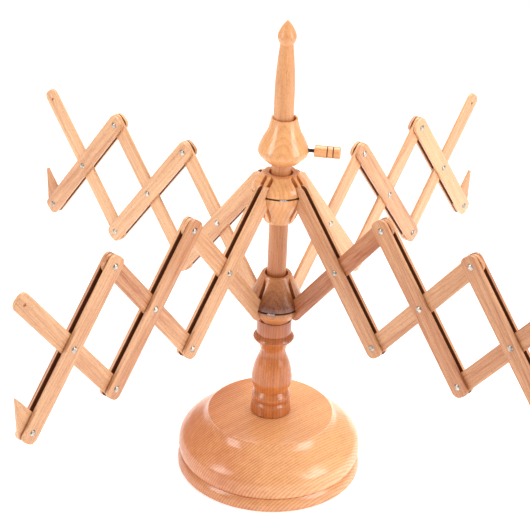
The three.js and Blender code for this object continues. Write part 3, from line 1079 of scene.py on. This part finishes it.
@dataclass
class Column(SubAssembly):
    """The turned column: foot, bead, vase, neck, ring and a plain top that carries the lower hub."""

    foot_radius: float = 0.0221
    foot_flare: float = 0.0014
    foot_height: float = 0.0142
    bead_radius: float = 0.021
    bead_height: float = 0.0133
    vase_radius: float = 0.022
    vase_height: float = 0.045
    neck_radius: float = 0.0139
    neck_height: float = 0.014
    ring_radius: float = 0.0219
    ring_height: float = 0.0105
    top_radius: float = 0.0186
    groove_depth: float = 0.0024
    tenon_radius: float = 0.011
    tenon_length: float = 0.022
    screw_hole: float = 0.0028
    screw_grip: float = 0.0203
    socket_radius: float = 0.0103
    socket_depth: float = 0.045
    bead_crown: float = 0.45
    vase_belly: float = 0.29
    vase_waist: float = 0.003
    vase_shoulder: float = 0.68
    neck_flare: float = 0.0007
    neck_bend: float = 0.55
    vase_lip: Spot = (0.0014, 0.0008)
    ring_lip: Spot = (0.001, 0.0005)
    top_step: float = 0.0012
    tenon_arris: float = 0.0005
    foot_arris: float = 0.0012
    foot_roll: float = 0.0022
    top_arris: float = 0.001
    socket_arris: float = 0.0004
    curve_steps: int = 10
    ease_steps: int = 5
    sides: int = 96
    # The tones darken the column towards its top, beneath the lower hub: painted shade.
    log: Log = Log((0, 0, 1), (-0.7, -0.7, 0.0), 0.09, tones=(0.1, 0.1, 0.0, 0.0, 0.3, 0.6))

    def build(self) -> None:
        """Turn the column."""
        bottom, top = height_of("column")
        foot = bottom + self.tenon_length
        bead = foot + self.foot_height
        vase = bead + self.bead_height
        neck = vase + self.vase_height
        ring = neck + self.neck_height
        plain_top = ring + self.ring_height
        bead_seat = self.bead_radius - self.groove_depth
        vase_seat = self.vase_radius - self.groove_depth * 2
        ring_seat = self.top_radius - self.groove_depth / 2
        bead_curve = [
            (bead_seat, bead),
            (self.bead_radius, bead + self.bead_height * self.bead_crown),
            (vase_seat, vase),
        ]
        vase_curve = [
            (vase_seat + self.vase_lip[0], vase + self.vase_lip[1]),
            (self.vase_radius, vase + self.vase_height * self.vase_belly),
            (self.vase_radius - self.vase_waist, vase + self.vase_height * self.vase_shoulder),
            (self.neck_radius, neck),
            (self.neck_radius + self.neck_flare, neck + self.neck_height * self.neck_bend),
            (ring_seat, ring),
        ]
        ring_curve = [
            (ring_seat + self.ring_lip[0], ring + self.ring_lip[1]),
            (self.ring_radius, ring + self.ring_height / 2),
            (ring_seat, plain_top),
        ]
        corners = [
            (self.screw_hole, bottom, 0.0),
            (self.tenon_radius, bottom, self.tenon_arris),
            (self.tenon_radius, foot, 0.0),
            (self.foot_radius, foot, self.foot_arris),
            (self.foot_radius - self.foot_flare, bead - self.groove_depth, self.foot_roll),
            *flowing(bead_curve, self.curve_steps),
            *flowing(vase_curve, self.curve_steps),
            *flowing(ring_curve, self.curve_steps),
            (self.top_radius, plain_top + self.top_step, 0.0),
            (self.top_radius, top, self.top_arris),
            (self.socket_radius, top, self.socket_arris),
            (self.socket_radius, top - self.socket_depth, 0.0),
            (0.0, top - self.socket_depth, 0.0),
            (0.0, bottom + self.screw_grip, 0.0),
            (self.screw_hole, bottom + self.screw_grip, 0.0),
        ]
        outline = eased(corners, self.ease_steps)
        self.keep_turned("column", outline, self.sides, Slot.TURNED, Finish.TURNED, self.log)


@dataclass
class Shaft(SubAssembly):
    """The dowel shaft, tapered above the collar and turned to a pointed finial."""

    radius: float = 0.01
    tip_radius: float = 0.0065
    taper: float = 0.043
    finial_radius: float = 0.0093
    finial_height: float = 0.024
    finial_belly: float = 0.34
    finial_neck: float = 0.75
    finial_slimming: float = 0.55
    taper_bend: float = 0.62
    shoulder_step: float = 0.0006
    foot_arris: float = 0.001
    stem_steps: int = 10
    finial_steps: int = 12
    ease_steps: int = 4
    sides: int = 72
    # The tones keep the shaft darker from its foot up past the hubs and paler near the finial: painted
    # shade where it runs between the arms.
    log: Log = Log((0, 0, 1), (0.3, 0.9, 0.0), 0.07, tones=(1.0, 1.0, 0.85, -0.05, -0.15))

    def build(self) -> None:
        """Turn the shaft."""
        bottom, tip = height_of("shaft")
        shoulder = tip - self.finial_height
        taper = shoulder - self.taper
        stem_curve = [
            (self.radius, taper - self.taper),
            (self.radius, taper),
            ((self.radius + self.tip_radius) / 2, taper + self.taper * self.taper_bend),
            (self.tip_radius, shoulder),
        ]
        belly = shoulder + self.finial_height * self.finial_belly
        slim = shoulder + self.finial_height * self.finial_neck
        finial_curve = [
            (self.tip_radius + self.shoulder_step, shoulder + self.shoulder_step),
            (self.finial_radius, belly),
            (self.finial_radius * self.finial_slimming, slim),
            (0.0, tip),
        ]
        corners = [
            (0.0, bottom, 0.0),
            (self.radius, bottom, self.foot_arris),
            *flowing(stem_curve, self.stem_steps),
            *flowing(finial_curve, self.finial_steps),
        ]
        outline = eased(corners, self.ease_steps, closed=False)
        self.keep_turned("shaft", outline, self.sides, Slot.TURNED, Finish.SHAFT, self.log)


class HubPlace(Enum):
    """Which hub it is: the lower one stands narrow end up, the upper one narrow end down."""

    LOWER = "lower"
    UPPER = "upper"


@dataclass
class Hub(SubAssembly):
    """A turned hub with sawn slots for the slats, and the wire that they turn on."""

    place: HubPlace = HubPlace.LOWER
    radius: float = 0.0289
    long_side: float = 0.0346
    short_side: float = 0.0186
    narrow_radius: float = 0.0152
    wide_radius: float = 0.0182
    bore: float = 0.012
    pivot_radius: float = 0.0279
    slot_floor: float = 0.016
    slat_thickness: float = 0.0037
    wire_radius: float = 0.0007
    overcut: float = 0.002
    bowl_bend: float = 0.4
    bell_shoulder: float = 0.22
    bell_bend: float = 0.57
    bowl_lip: Spot = (0.0024, 0.0032)
    bowl_draft: float = 0.0016
    bell_draft: float = 0.0012
    bell_lip: Spot = (0.001, 0.0015)
    bore_arris: float = 0.0004
    wide_arris: float = 0.0008
    groove_arris: float = 0.0002
    narrow_arris: float = 0.0005
    bowl_steps: int = 8
    bell_steps: int = 10
    ease_steps: int = 4
    sides: int = 144
    wire_steps: int = 160
    wire_sides: int = 10
    twist_length: float = 0.0075
    twist_turns: float = 2.5
    twist_steps: int = 40
    twist_sides: int = 8
    strand_share: float = 0.55
    strand_seat: float = 0.4
    twist_azimuths: tuple[float, float] = (302, -316.5)
    # tone along the lower hub from bottom to top: darker at the bottom edge and in a band just above
    # the wire groove
    tones: tuple[float, ...] = (0.3, -0.3, 0.75, 0.4, 0.1, 0.0)

    def build(self) -> None:
        """Turn the hub, saw its slots and twist its wire."""
        name = f"{self.place.value}_hub"
        wire = f"{self.place.value}_wire"
        low, high = height_of(wire)
        flip = Matrix.Rotation(math.pi, 4, "X") if self.place is HubPlace.UPPER else Matrix.Identity(4)
        stand = Matrix.Translation((0, 0, (low + high) / 2)) @ flip
        hub = shown(f"{name}_turned", turned(self.outline(), self.sides), stand)
        cut(hub, self.slots())
        dark = self.place is HubPlace.LOWER
        self.keep(
            hub,
            name,
            Slot.DARK if dark else Slot.TURNED,
            Finish.DARK if dark else Finish.PALE,
            Log((0, 0, 1), (0.6, -0.8, 0), 0.05, tones=self.tones if dark else (0.0, 0.0)),
            [name],
        )
        self.build_wire(wire, stand)

    def outline(self) -> list[Spot]:
        """Give the hub's outline, with the wire's groove at level 0."""
        half = self.wire_radius + SEAM
        floor = self.pivot_radius - half
        narrow = self.narrow_radius
        bowl = [
            (self.wide_radius + self.bowl_lip[0], -self.short_side + self.bowl_lip[1]),
            (self.radius - self.bowl_draft, -self.short_side * self.bowl_bend),
            (self.radius, -half),
        ]
        bell = [
            (self.radius, half),
            (self.radius - self.bell_draft, self.long_side * self.bell_shoulder),
            ((self.radius + narrow) / 2, self.long_side * self.bell_bend),
            (narrow + self.bell_lip[0], self.long_side - self.bell_lip[1]),
        ]
        return eased(
            [
                (self.bore, -self.short_side, self.bore_arris),
                (self.wide_radius, -self.short_side, self.wide_arris),
                *flowing(bowl, self.bowl_steps),
                (floor, -half, self.groove_arris),
                (floor, half, self.groove_arris),
                *flowing(bell, self.bell_steps),
                (narrow, self.long_side, self.narrow_arris),
                (self.bore, self.long_side, self.narrow_arris),
            ],
            self.ease_steps,
        )

    def slots(self) -> list[bmesh.types.BMesh]:
        """Give the cutting tools for the slats' slots."""
        inner = self.slat_thickness / 2 + SEAM
        outer = inner + self.slat_thickness
        if self.place is HubPlace.LOWER:
            spans = [(-inner, inner)]
        else:
            spans = [(inner - SEAM, outer + SEAM), (-outer - SEAM, -inner + SEAM)]
        tools = []
        for arm in range(len(ARM_LABELS)):
            for near, far in spans:
                tool = boxed(
                    Vector((self.slot_floor, near, -self.short_side - self.overcut)),
                    Vector((self.radius + self.overcut, far, self.long_side + self.overcut)),
                )
                tool.transform(Matrix.Rotation(FULL_TURN * arm / len(ARM_LABELS), 4, "Z"))
                tools.append(tool)
        return tools

    def build_wire(self, name: str, stand: Matrix) -> None:
        """Bend the wire round the groove and twist its two ends together.

        Args:
            name: The wire's CAD node.
            stand: Where the hub stands.
        """
        ring = [Vector((*polar(1, angle), 0)) * self.pivot_radius for angle in turns(self.wire_steps)]
        wire = drawn(ring, self.wire_radius, self.wire_sides, closed=True)
        self.keep(
            shown(f"{name}_bent", wire, stand),
            f"{self.place.value}_hub",
            Slot.BRIGHT,
            Finish.WIRE,
            BAR,
            [name],
        )
        azimuth = self.twist_azimuths[0 if self.place is HubPlace.LOWER else 1]
        strand_radius = self.wire_radius * self.strand_share
        seat = self.radius + self.wire_radius * self.strand_seat
        for strand in (0, 1):
            path = []
            for step in range(self.twist_steps + 1):
                share = step / self.twist_steps
                angle = math.radians(azimuth) + (share - 0.5) * self.twist_length / self.radius
                phase = FULL_TURN * self.twist_turns * share + math.pi * strand
                out = seat + strand_radius * math.cos(phase)
                level = strand_radius * math.sin(phase)
                path.append(Vector((*polar(out, angle), level)))
            twist = drawn(path, strand_radius, self.twist_sides, closed=False)
            self.keep(
                shown(f"{name}_twist_{strand + 1}", twist, stand),
                f"{self.place.value}_hub",
                Slot.BRIGHT,
                Finish.BRIGHT,
                BAR,
            )


class SlatKind(Enum):
    """The three kinds of slat in a cell of an arm."""

    SINGLE = "single"
    FRONT = "front"
    BACK = "back"


@dataclass
class Arm(SubAssembly):
    """One lazy-tong arm: three single slats, three pairs, a pointed cleat and eight rivets."""

    label: str = "a"
    slat_width: float = 0.0188
    slat_thickness: float = 0.0037
    overhang: float = 0.0107
    corner: float = 0.007
    arris: float = 0.0006
    pivot_radius: float = 0.0279
    wire_hole: float = 0.0018
    free_hole: float = 0.0017
    rivet_radius: float = 0.0015
    rivet_hole: float = 0.0017
    head_radius: float = 0.0033
    head_height: float = 0.0015
    head_lift: float = 0.00003
    head_steps: int = 6
    rivet_sides: int = 24
    cleat_reach: float = 0.0368
    cleat_rise: float = 0.0237
    cleat_seat: float = 0.0009
    cleat_arris: float = 0.001
    cleat_tip_arris: float = 0.0006
    cleat_heel_share: float = 0.9
    cleat_corner_steps: int = 5
    cleat_arris_steps: int = 2
    cleat_log: Log = Log((-0.5, 0, 1), (0, 1, 0), 0.06)
    cells: int = 3
    # the arm's tone shift, partly painted light and shade over the whole arm
    tone: float = 0.0
    tone_spread: float = 0.2
    grain_lean: float = 1.2
    grain_slant: float = 0.03
    heart_distances: tuple[float, float] = (0.04, 0.2)
    corner_steps: int = 9
    arris_steps: int = 3

    def build(self) -> None:
        """Saw the slats, cut the cleat, and set the rivets."""
        turn = Matrix.Rotation(FULL_TURN * ARM_LABELS.index(self.label) / len(ARM_LABELS), 4, "Z")
        low_wire, high_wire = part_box("lower_wire"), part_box("upper_wire")
        lower = (low_wire[0].z + low_wire[1].z) / 2
        upper = (high_wire[0].z + high_wire[1].z) / 2
        first, crossing = JOINT_PLACES["arms_fold"], JOINT_PLACES["arm_a_double_1_on_single_1"]
        self.stride = 2 * (crossing.x - first.x)
        self.pitch = 2 * (crossing - first).length
        self.angle = math.atan2(crossing.z - first.z, crossing.x - first.x)
        for cell in range(1, self.cells + 1):
            start = self.pivot_radius + (cell - 1) * self.stride
            up = turn @ Matrix.Translation((start, 0, lower)) @ Matrix.Rotation(-self.angle, 4, "Y")
            down = turn @ Matrix.Translation((start, 0, upper)) @ Matrix.Rotation(self.angle, 4, "Y")
            self.build_slat(SlatKind.SINGLE, cell, up)
            self.build_slat(SlatKind.FRONT, cell, down)
            self.build_slat(SlatKind.BACK, cell, down)
            self.build_rivets(cell, down)
            if cell == self.cells:
                self.build_cleat(down)

    def slat_outline(self) -> list[Spot]:
        """Give a slat's outer edge, anticlockwise from its first pivot at the origin."""
        half = self.slat_width / 2
        far = self.pitch + self.overhang
        return eased(
            [
                (-self.overhang, -half, self.corner),
                (far, -half, self.corner),
                (far, half, self.corner),
                (-self.overhang, half, self.corner),
            ],
            self.corner_steps,
        )

    def build_slat(self, kind: SlatKind, cell: int, place: Matrix) -> None:
        """Saw one slat and drill its holes.

        Args:
            kind: Single, or the front or back one of a pair.
            cell: Its cell, from 1 at the hub.
            place: Where its first pivot is and how it leans.
        """
        single = kind is SlatKind.SINGLE
        first = self.wire_hole if cell == 1 else self.rivet_hole
        last = self.free_hole if single and cell == self.cells else self.rivet_hole
        holes = [
            drilled((0, 0), first),
            drilled((self.pitch / 2, 0), self.rivet_hole),
            drilled((self.pitch, 0), last),
        ]
        board = sawn(self.slat_outline(), holes, self.slat_thickness, self.arris, self.arris_steps)
        gap = self.slat_thickness + SEAM
        aside = {SlatKind.SINGLE: 0.0, SlatKind.FRONT: gap, SlatKind.BACK: -gap}[kind]
        body = f"arm_{self.label}_{'single' if single else 'double'}_{cell}"
        node = body if single else f"{body}_{kind.value}"
        slat = shown(f"{node}_slat", board, place @ Matrix.Translation((0, aside, 0)))
        draw = random.Random(node)
        lean = draw.uniform(-self.grain_lean, self.grain_lean)
        grain = (1, 0, draw.uniform(-self.grain_slant, self.grain_slant))
        tone = self.tone + draw.uniform(-self.tone_spread, self.tone_spread)
        heart = (0, math.cos(lean), math.sin(lean))
        log = Log(grain, heart, draw.uniform(*self.heart_distances), tones=(tone, tone))
        faces = slat.data.polygons
        # the faces inside each pair get painted shade
        inside = [face.index for face in faces if face.normal.y * aside < -abs(aside) / 2]
        self.keep(slat, body, Slot.SLAT, Finish.SLAT, log, [node])
        if not single:
            self.repaint(slat, Finish.INNER, inside)

    def build_rivets(self, cell: int, place: Matrix) -> None:
        """Set the rivets of one pair.

        Args:
            cell: Its cell, from 1 at the hub.
            place: Where the pair's first pivot is and how it leans.
        """
        seats = {"middle": self.pitch / 2, "outer": self.pitch}
        if cell > 1:
            seats["inner"] = 0.0
        face = self.slat_thickness * 1.5 + SEAM + self.head_lift
        half = [(self.rivet_radius, face)]
        for step in range(self.head_steps):
            bend = math.pi / 2 * step / self.head_steps
            half.append((self.head_radius * math.cos(bend), face + self.head_height * math.sin(bend)))
        half.append((0.0, face + self.head_height))
        outline = [(r, -z) for r, z in reversed(half)] + half
        for where, along in seats.items():
            stand = place @ Matrix.Translation((along, 0, 0)) @ Matrix.Rotation(math.pi / 2, 4, "X")
            rivet = turned(outline, self.rivet_sides, closed=False)
            self.keep(
                shown(f"arm_{self.label}_rivet_{cell}_{where}", rivet, stand),
                f"arm_{self.label}_double_{cell}",
                Slot.BRIGHT,
                Finish.RIVET,
                BAR,
            )

    def build_cleat(self, place: Matrix) -> None:
        """Cut the pointed cleat that sits between the outermost pair's lower ends.

        Args:
            place: Where the pair's first pivot is and how it leans.
        """
        inner = self.slat_width / 2 - self.cleat_seat
        slope = math.tan(2 * self.angle - math.pi / 2)
        heel = self.overhang - self.cleat_seat
        foot = -self.cleat_rise + (self.cleat_reach + inner) * slope
        outline = eased(
            [
                (foot, -inner, self.cleat_arris),
                (heel, -inner, self.corner * self.cleat_heel_share),
                (heel, inner, self.cleat_arris),
                (-self.cleat_rise, self.cleat_reach, self.cleat_tip_arris),
            ],
            self.cleat_corner_steps,
        )
        hole = drilled((0, 0), self.rivet_hole)
        board = sawn(outline, [hole], self.slat_thickness, self.arris / 2, self.cleat_arris_steps)
        node = f"arm_{self.label}_cleat"
        cleat = shown(f"{node}_cut", board, place @ Matrix.Translation((self.pitch, 0, 0)))
        body = f"arm_{self.label}_double_{self.cells}"
        self.keep(cleat, body, Slot.BASE, Finish.SLAT, self.cleat_log, [node])


@dataclass
class Lock(SubAssembly):
    """The bulb-shaped lock collar with its threaded rod and grooved knob."""

    radius: float = 0.0254
    belly: float = 0.0143
    foot_radius: float = 0.0152
    rim_radius: float = 0.0133
    bore: float = 0.0115
    offset: float = 0.0012
    azimuth: float = math.radians(33)
    rod_radius: float = 0.002
    rod_hole: float = 0.00245
    thread_pitch: float = 0.0008
    thread_depth: float = 0.00032
    shaft_radius: float = 0.01
    foot_lip: Spot = (0.0012, 0.0006)
    under_belly: Spot = (0.0014, 0.56)  # a step in radius, and a share of the belly's height
    shoulder: Spot = (0.0041, 0.53)  # here and below, a share of the collar's height
    neck: Spot = (0.004, 0.69)
    throat: Spot = (0.0013, 0.87)
    bore_arris: float = 0.0005
    rim_arris: float = 0.0004
    exposed: float = 0.006
    knob_radius: float = 0.00615
    knob_length: float = 0.026
    knob_socket: float = 0.015
    groove: float = 0.00055
    groove_arris: float = 0.0002
    grooves: tuple[float, float] = (0.5, 0.73)
    knob_foot_arris: float = 0.0007
    knob_end_arris: float = 0.0009
    burnt_past: float = 1.5  # only faces this many bores out from the axis are burnt
    curve_steps: int = 9
    ease_steps: int = 4
    knob_ease_steps: int = 5
    collar_sides: int = 120
    drill_sides: int = 24
    drill_start: float = 0.8
    rod_sides: int = 20
    steps_per_pitch: int = 6
    knob_sides: int = 64

    def build(self) -> None:
        """Turn the collar, cut the rod's thread and turn the knob."""
        self.build_collar()
        low, high = height_of("thumbscrew_knob")
        screw = (
            Matrix.Translation((0, 0, (low + high) / 2))
            @ Matrix.Rotation(self.azimuth, 4, "Z")
            @ Matrix.Rotation(math.pi / 2, 4, "Y")
        )
        start = self.offset + self.radius + self.exposed
        self.build_rod(screw, start)
        self.build_knob(screw, start)

    def build_collar(self) -> None:
        """Turn the collar and drill it for the screw."""
        bottom, top = height_of("lock_collar")
        height = top - bottom
        bulb = [
            (self.foot_radius + self.foot_lip[0], self.foot_lip[1]),
            (self.radius - self.under_belly[0], self.belly * self.under_belly[1]),
            (self.radius, self.belly),
            (self.radius - self.shoulder[0], height * self.shoulder[1]),
            (self.rim_radius + self.neck[0], height * self.neck[1]),
            (self.rim_radius + self.throat[0], height * self.throat[1]),
            (self.rim_radius, height),
        ]
        corners = [
            (self.bore, 0.0, self.bore_arris),
            (self.foot_radius, 0.0, self.rim_arris),
            *flowing(bulb, self.curve_steps),
            (self.bore, height, self.rim_arris),
        ]
        place = Matrix.Rotation(self.azimuth, 4, "Z") @ Matrix.Translation((self.offset, 0, bottom))
        outline = eased(corners, self.ease_steps)
        collar = shown("lock_collar_turned", turned(outline, self.collar_sides), place)
        hole = self.rod_hole
        bit = [(0.0, 0.0), (hole, 0.0), (hole, self.radius), (0.0, self.radius)]
        drill = turned(bit, self.drill_sides, closed=False)
        start = Matrix.Translation((self.shaft_radius * self.drill_start, 0, self.belly))
        drill.transform(start @ Matrix.Rotation(math.pi / 2, 4, "Y"))
        cut(collar, [drill])
        self.keep(
            collar,
            "lock_collar",
            Slot.TURNED,
            Finish.PALE,
            Log((0.05, 0, 1), (0.12, -0.99, 0.0), 0.075, wander=0.0),
            ["lock_collar"],
        )

    def build_rod(self, screw: Matrix, knob_start: float) -> None:
        """Cut the rod with its thread.

        Args:
            screw: The screw's axis and middle.
            knob_start: Where the knob begins along it.
        """
        start = self.shaft_radius + SEAM
        end = knob_start + self.knob_socket - SEAM
        sides = self.rod_sides
        steps = round((end - start) / self.thread_pitch * self.steps_per_pitch)
        body = bmesh.new()
        rings = []
        for step in range(steps + 1):
            along = start + (end - start) * step / steps
            ring = []
            for side, angle in enumerate(turns(sides)):
                share = ((along - start) / self.thread_pitch - side / sides) % 1
                radius = self.rod_radius - self.thread_depth * abs(2 * share - 1)
                ring.append(body.verts.new((*polar(radius, angle), along)))
            rings.append(ring)
        join_rings(body, rings, closed=False, capped=True)
        bmesh.ops.recalc_face_normals(body, faces=body.faces)
        self.keep(
            shown("thumbscrew_rod_threaded", body, screw),
            "thumbscrew",
            Slot.BLACK,
            Finish.BLACK,
            BAR,
            ["thumbscrew_rod"],
        )

    def build_knob(self, screw: Matrix, start: float) -> None:
        """Turn the knob with its two burnt grooves.

        Args:
            screw: The screw's axis and middle.
            start: Where the knob begins along it.
        """
        bore = self.rod_radius + SEAM
        end = start + self.knob_length
        groove_marks = []
        levels = []
        for share in self.grooves:
            level = start + self.knob_length * share
            levels.append(level)
            groove_marks += [
                (self.knob_radius, level - self.groove, 0.0),
                (self.knob_radius - self.groove, level, self.groove_arris),
                (self.knob_radius, level + self.groove, 0.0),
            ]
        corners = [
            (bore, start, 0.0),
            (self.knob_radius, start, self.knob_foot_arris),
            *groove_marks,
            (self.knob_radius, end, self.knob_end_arris),
            (0.0, end, 0.0),
            (0.0, start + self.knob_socket, 0.0),
            (bore, start + self.knob_socket, 0.0),
        ]
        outline = eased(corners, self.knob_ease_steps)
        knob = shown("thumbscrew_knob_turned", turned(outline, self.knob_sides), screw)
        burnt = []
        for polygon in knob.data.polygons:
            middle = polygon.center
            near = min(abs(middle.z - level) for level in levels)
            if near < self.groove and math.hypot(middle.x, middle.y) > bore * self.burnt_past:
                burnt.append(polygon.index)
        self.keep(
            knob,
            "thumbscrew",
            Slot.TURNED,
            Finish.PALE,
            Log((0, 0, 1), (0.4, 0.9, 0), 0.05),
            ["thumbscrew_knob"],
        )
        self.repaint(knob, Finish.BURNT, burnt)


# ------------------------------------------------------------------ studio


@dataclass(frozen=True)
class Lamp:
    """A soft box: where it hangs round the stand, how large it is and how brightly it glows."""

    name: str
    azimuth: float
    distance: float
    height: float
    width: float
    length: float
    glow: float


@dataclass
class Studio:
    """A white card floor, soft white light all round, two window-like lights, and the camera."""

    floor_radius: float = 14.0
    floor_sides: int = 64
    sky: float = 0.42
    lamps: tuple[Lamp, ...] = (
        Lamp("window_left", -112.0, 1.3, 0.75, 0.5, 0.8, 5.6),
        Lamp("window_right", 12.0, 1.3, 0.75, 0.66, 0.95, 5.6),
        Lamp("tent_top", 130.0, 0.5, 1.7, 1.4, 1.4, 4.6),
    )
    camera_place: tuple[float, float, float] = (0.8963, -1.0856, 0.9757)
    camera_heading: float = math.radians(40.044)
    camera_tilt: float = math.radians(27.555)
    camera_roll: float = math.radians(2.376)
    lens: float = 103.92
    sensor: float = 36.0

    def build(self) -> None:
        """Lay the floor, hang the lights and set up the camera."""
        self.build_floor()
        self.build_sky()
        self.build_lights()
        self.build_camera()

    def build_floor(self) -> None:
        """Lay a round white card under the stand."""
        body = bmesh.new()
        bmesh.ops.create_circle(
            body, cap_ends=True, radius=self.floor_radius, segments=self.floor_sides
        )
        floor = shown("floor", body, Matrix.Translation((0, 0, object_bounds()[0].z)))
        floor.data.materials.append(Finish.CARD.look())
        floor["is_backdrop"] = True

    def build_sky(self) -> None:
        """Surround the scene with even white light."""
        world = bpy.data.worlds.new("white_tent")
        world.use_nodes = True
        world.node_tree.nodes["Background"].inputs["Color"].default_value = (1, 1, 1, 1)
        world.node_tree.nodes["Background"].inputs["Strength"].default_value = self.sky
        bpy.context.scene.world = world
        bpy.context.scene.view_settings.view_transform = "Standard"

    def build_lights(self) -> None:
        """Hang the soft lights, aimed at the middle of the swift."""
        low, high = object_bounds()
        middle = (low + high) / 2
        for lamp_plan in self.lamps:
            lamp = bpy.data.lights.new(lamp_plan.name, "AREA")
            lamp.shape = "RECTANGLE"
            lamp.size = lamp_plan.width
            lamp.size_y = lamp_plan.length
            lamp.energy = lamp_plan.glow * math.pi * lamp_plan.width * lamp_plan.length
            light = bpy.data.objects.new(lamp_plan.name, lamp)
            spot = polar(lamp_plan.distance, math.radians(lamp_plan.azimuth))
            light.location = Vector((*spot, lamp_plan.height))
            light.rotation_mode = "QUATERNION"
            light.rotation_quaternion = (middle - light.location).to_track_quat("-Z", "Y")
            bpy.context.scene.collection.objects.link(light)

    def build_camera(self) -> None:
        """Set up the camera."""
        flat, drop = math.cos(self.camera_tilt), math.sin(self.camera_tilt)
        heading = self.camera_heading
        ahead = Vector((-math.sin(heading) * flat, math.cos(heading) * flat, -drop))
        right = ahead.cross(Vector((0, 0, 1))).normalized()
        up = right.cross(ahead)
        c, s = math.cos(self.camera_roll), math.sin(self.camera_roll)
        axes = (right * c + up * s, up * c - right * s, -ahead)
        place = Matrix([[axis[i] for axis in axes] for i in range(3)]).to_4x4()
        place.translation = Vector(self.camera_place)
        data = bpy.data.cameras.new("camera")
        data.lens = self.lens
        data.sensor_width = self.sensor
        data.clip_end = self.floor_radius * 4
        camera = bpy.data.objects.new("camera", data)
        camera.matrix_world = place
        bpy.context.scene.collection.objects.link(camera)
        bpy.context.scene.camera = camera


JOINT_PLACES: dict[str, Vector] = {}


def main() -> None:
    """Load the frame, build each sub-assembly in order, and set up the studio."""
    logging.basicConfig(level=logging.INFO, format="%(name)s %(message)s")
    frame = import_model()
    for joint in frame["joints"]:
        JOINT_PLACES[joint["name"]] = Vector(joint.get("pos_m", (0, 0, 0)))
    parts: list[SubAssembly] = [
        Base(),
        Column(),
        Shaft(),
        Hub(place=HubPlace.LOWER),
        Hub(place=HubPlace.UPPER),
        *[Arm(label=label, tone=tone) for label, tone in ARM_TONES_AND_PAINTED_LIGHT.items()],
        Lock(),
    ]
    for part in parts:
        part.build()
        part.report()
    Studio().build()


if __name__ == "__main__":
    main()
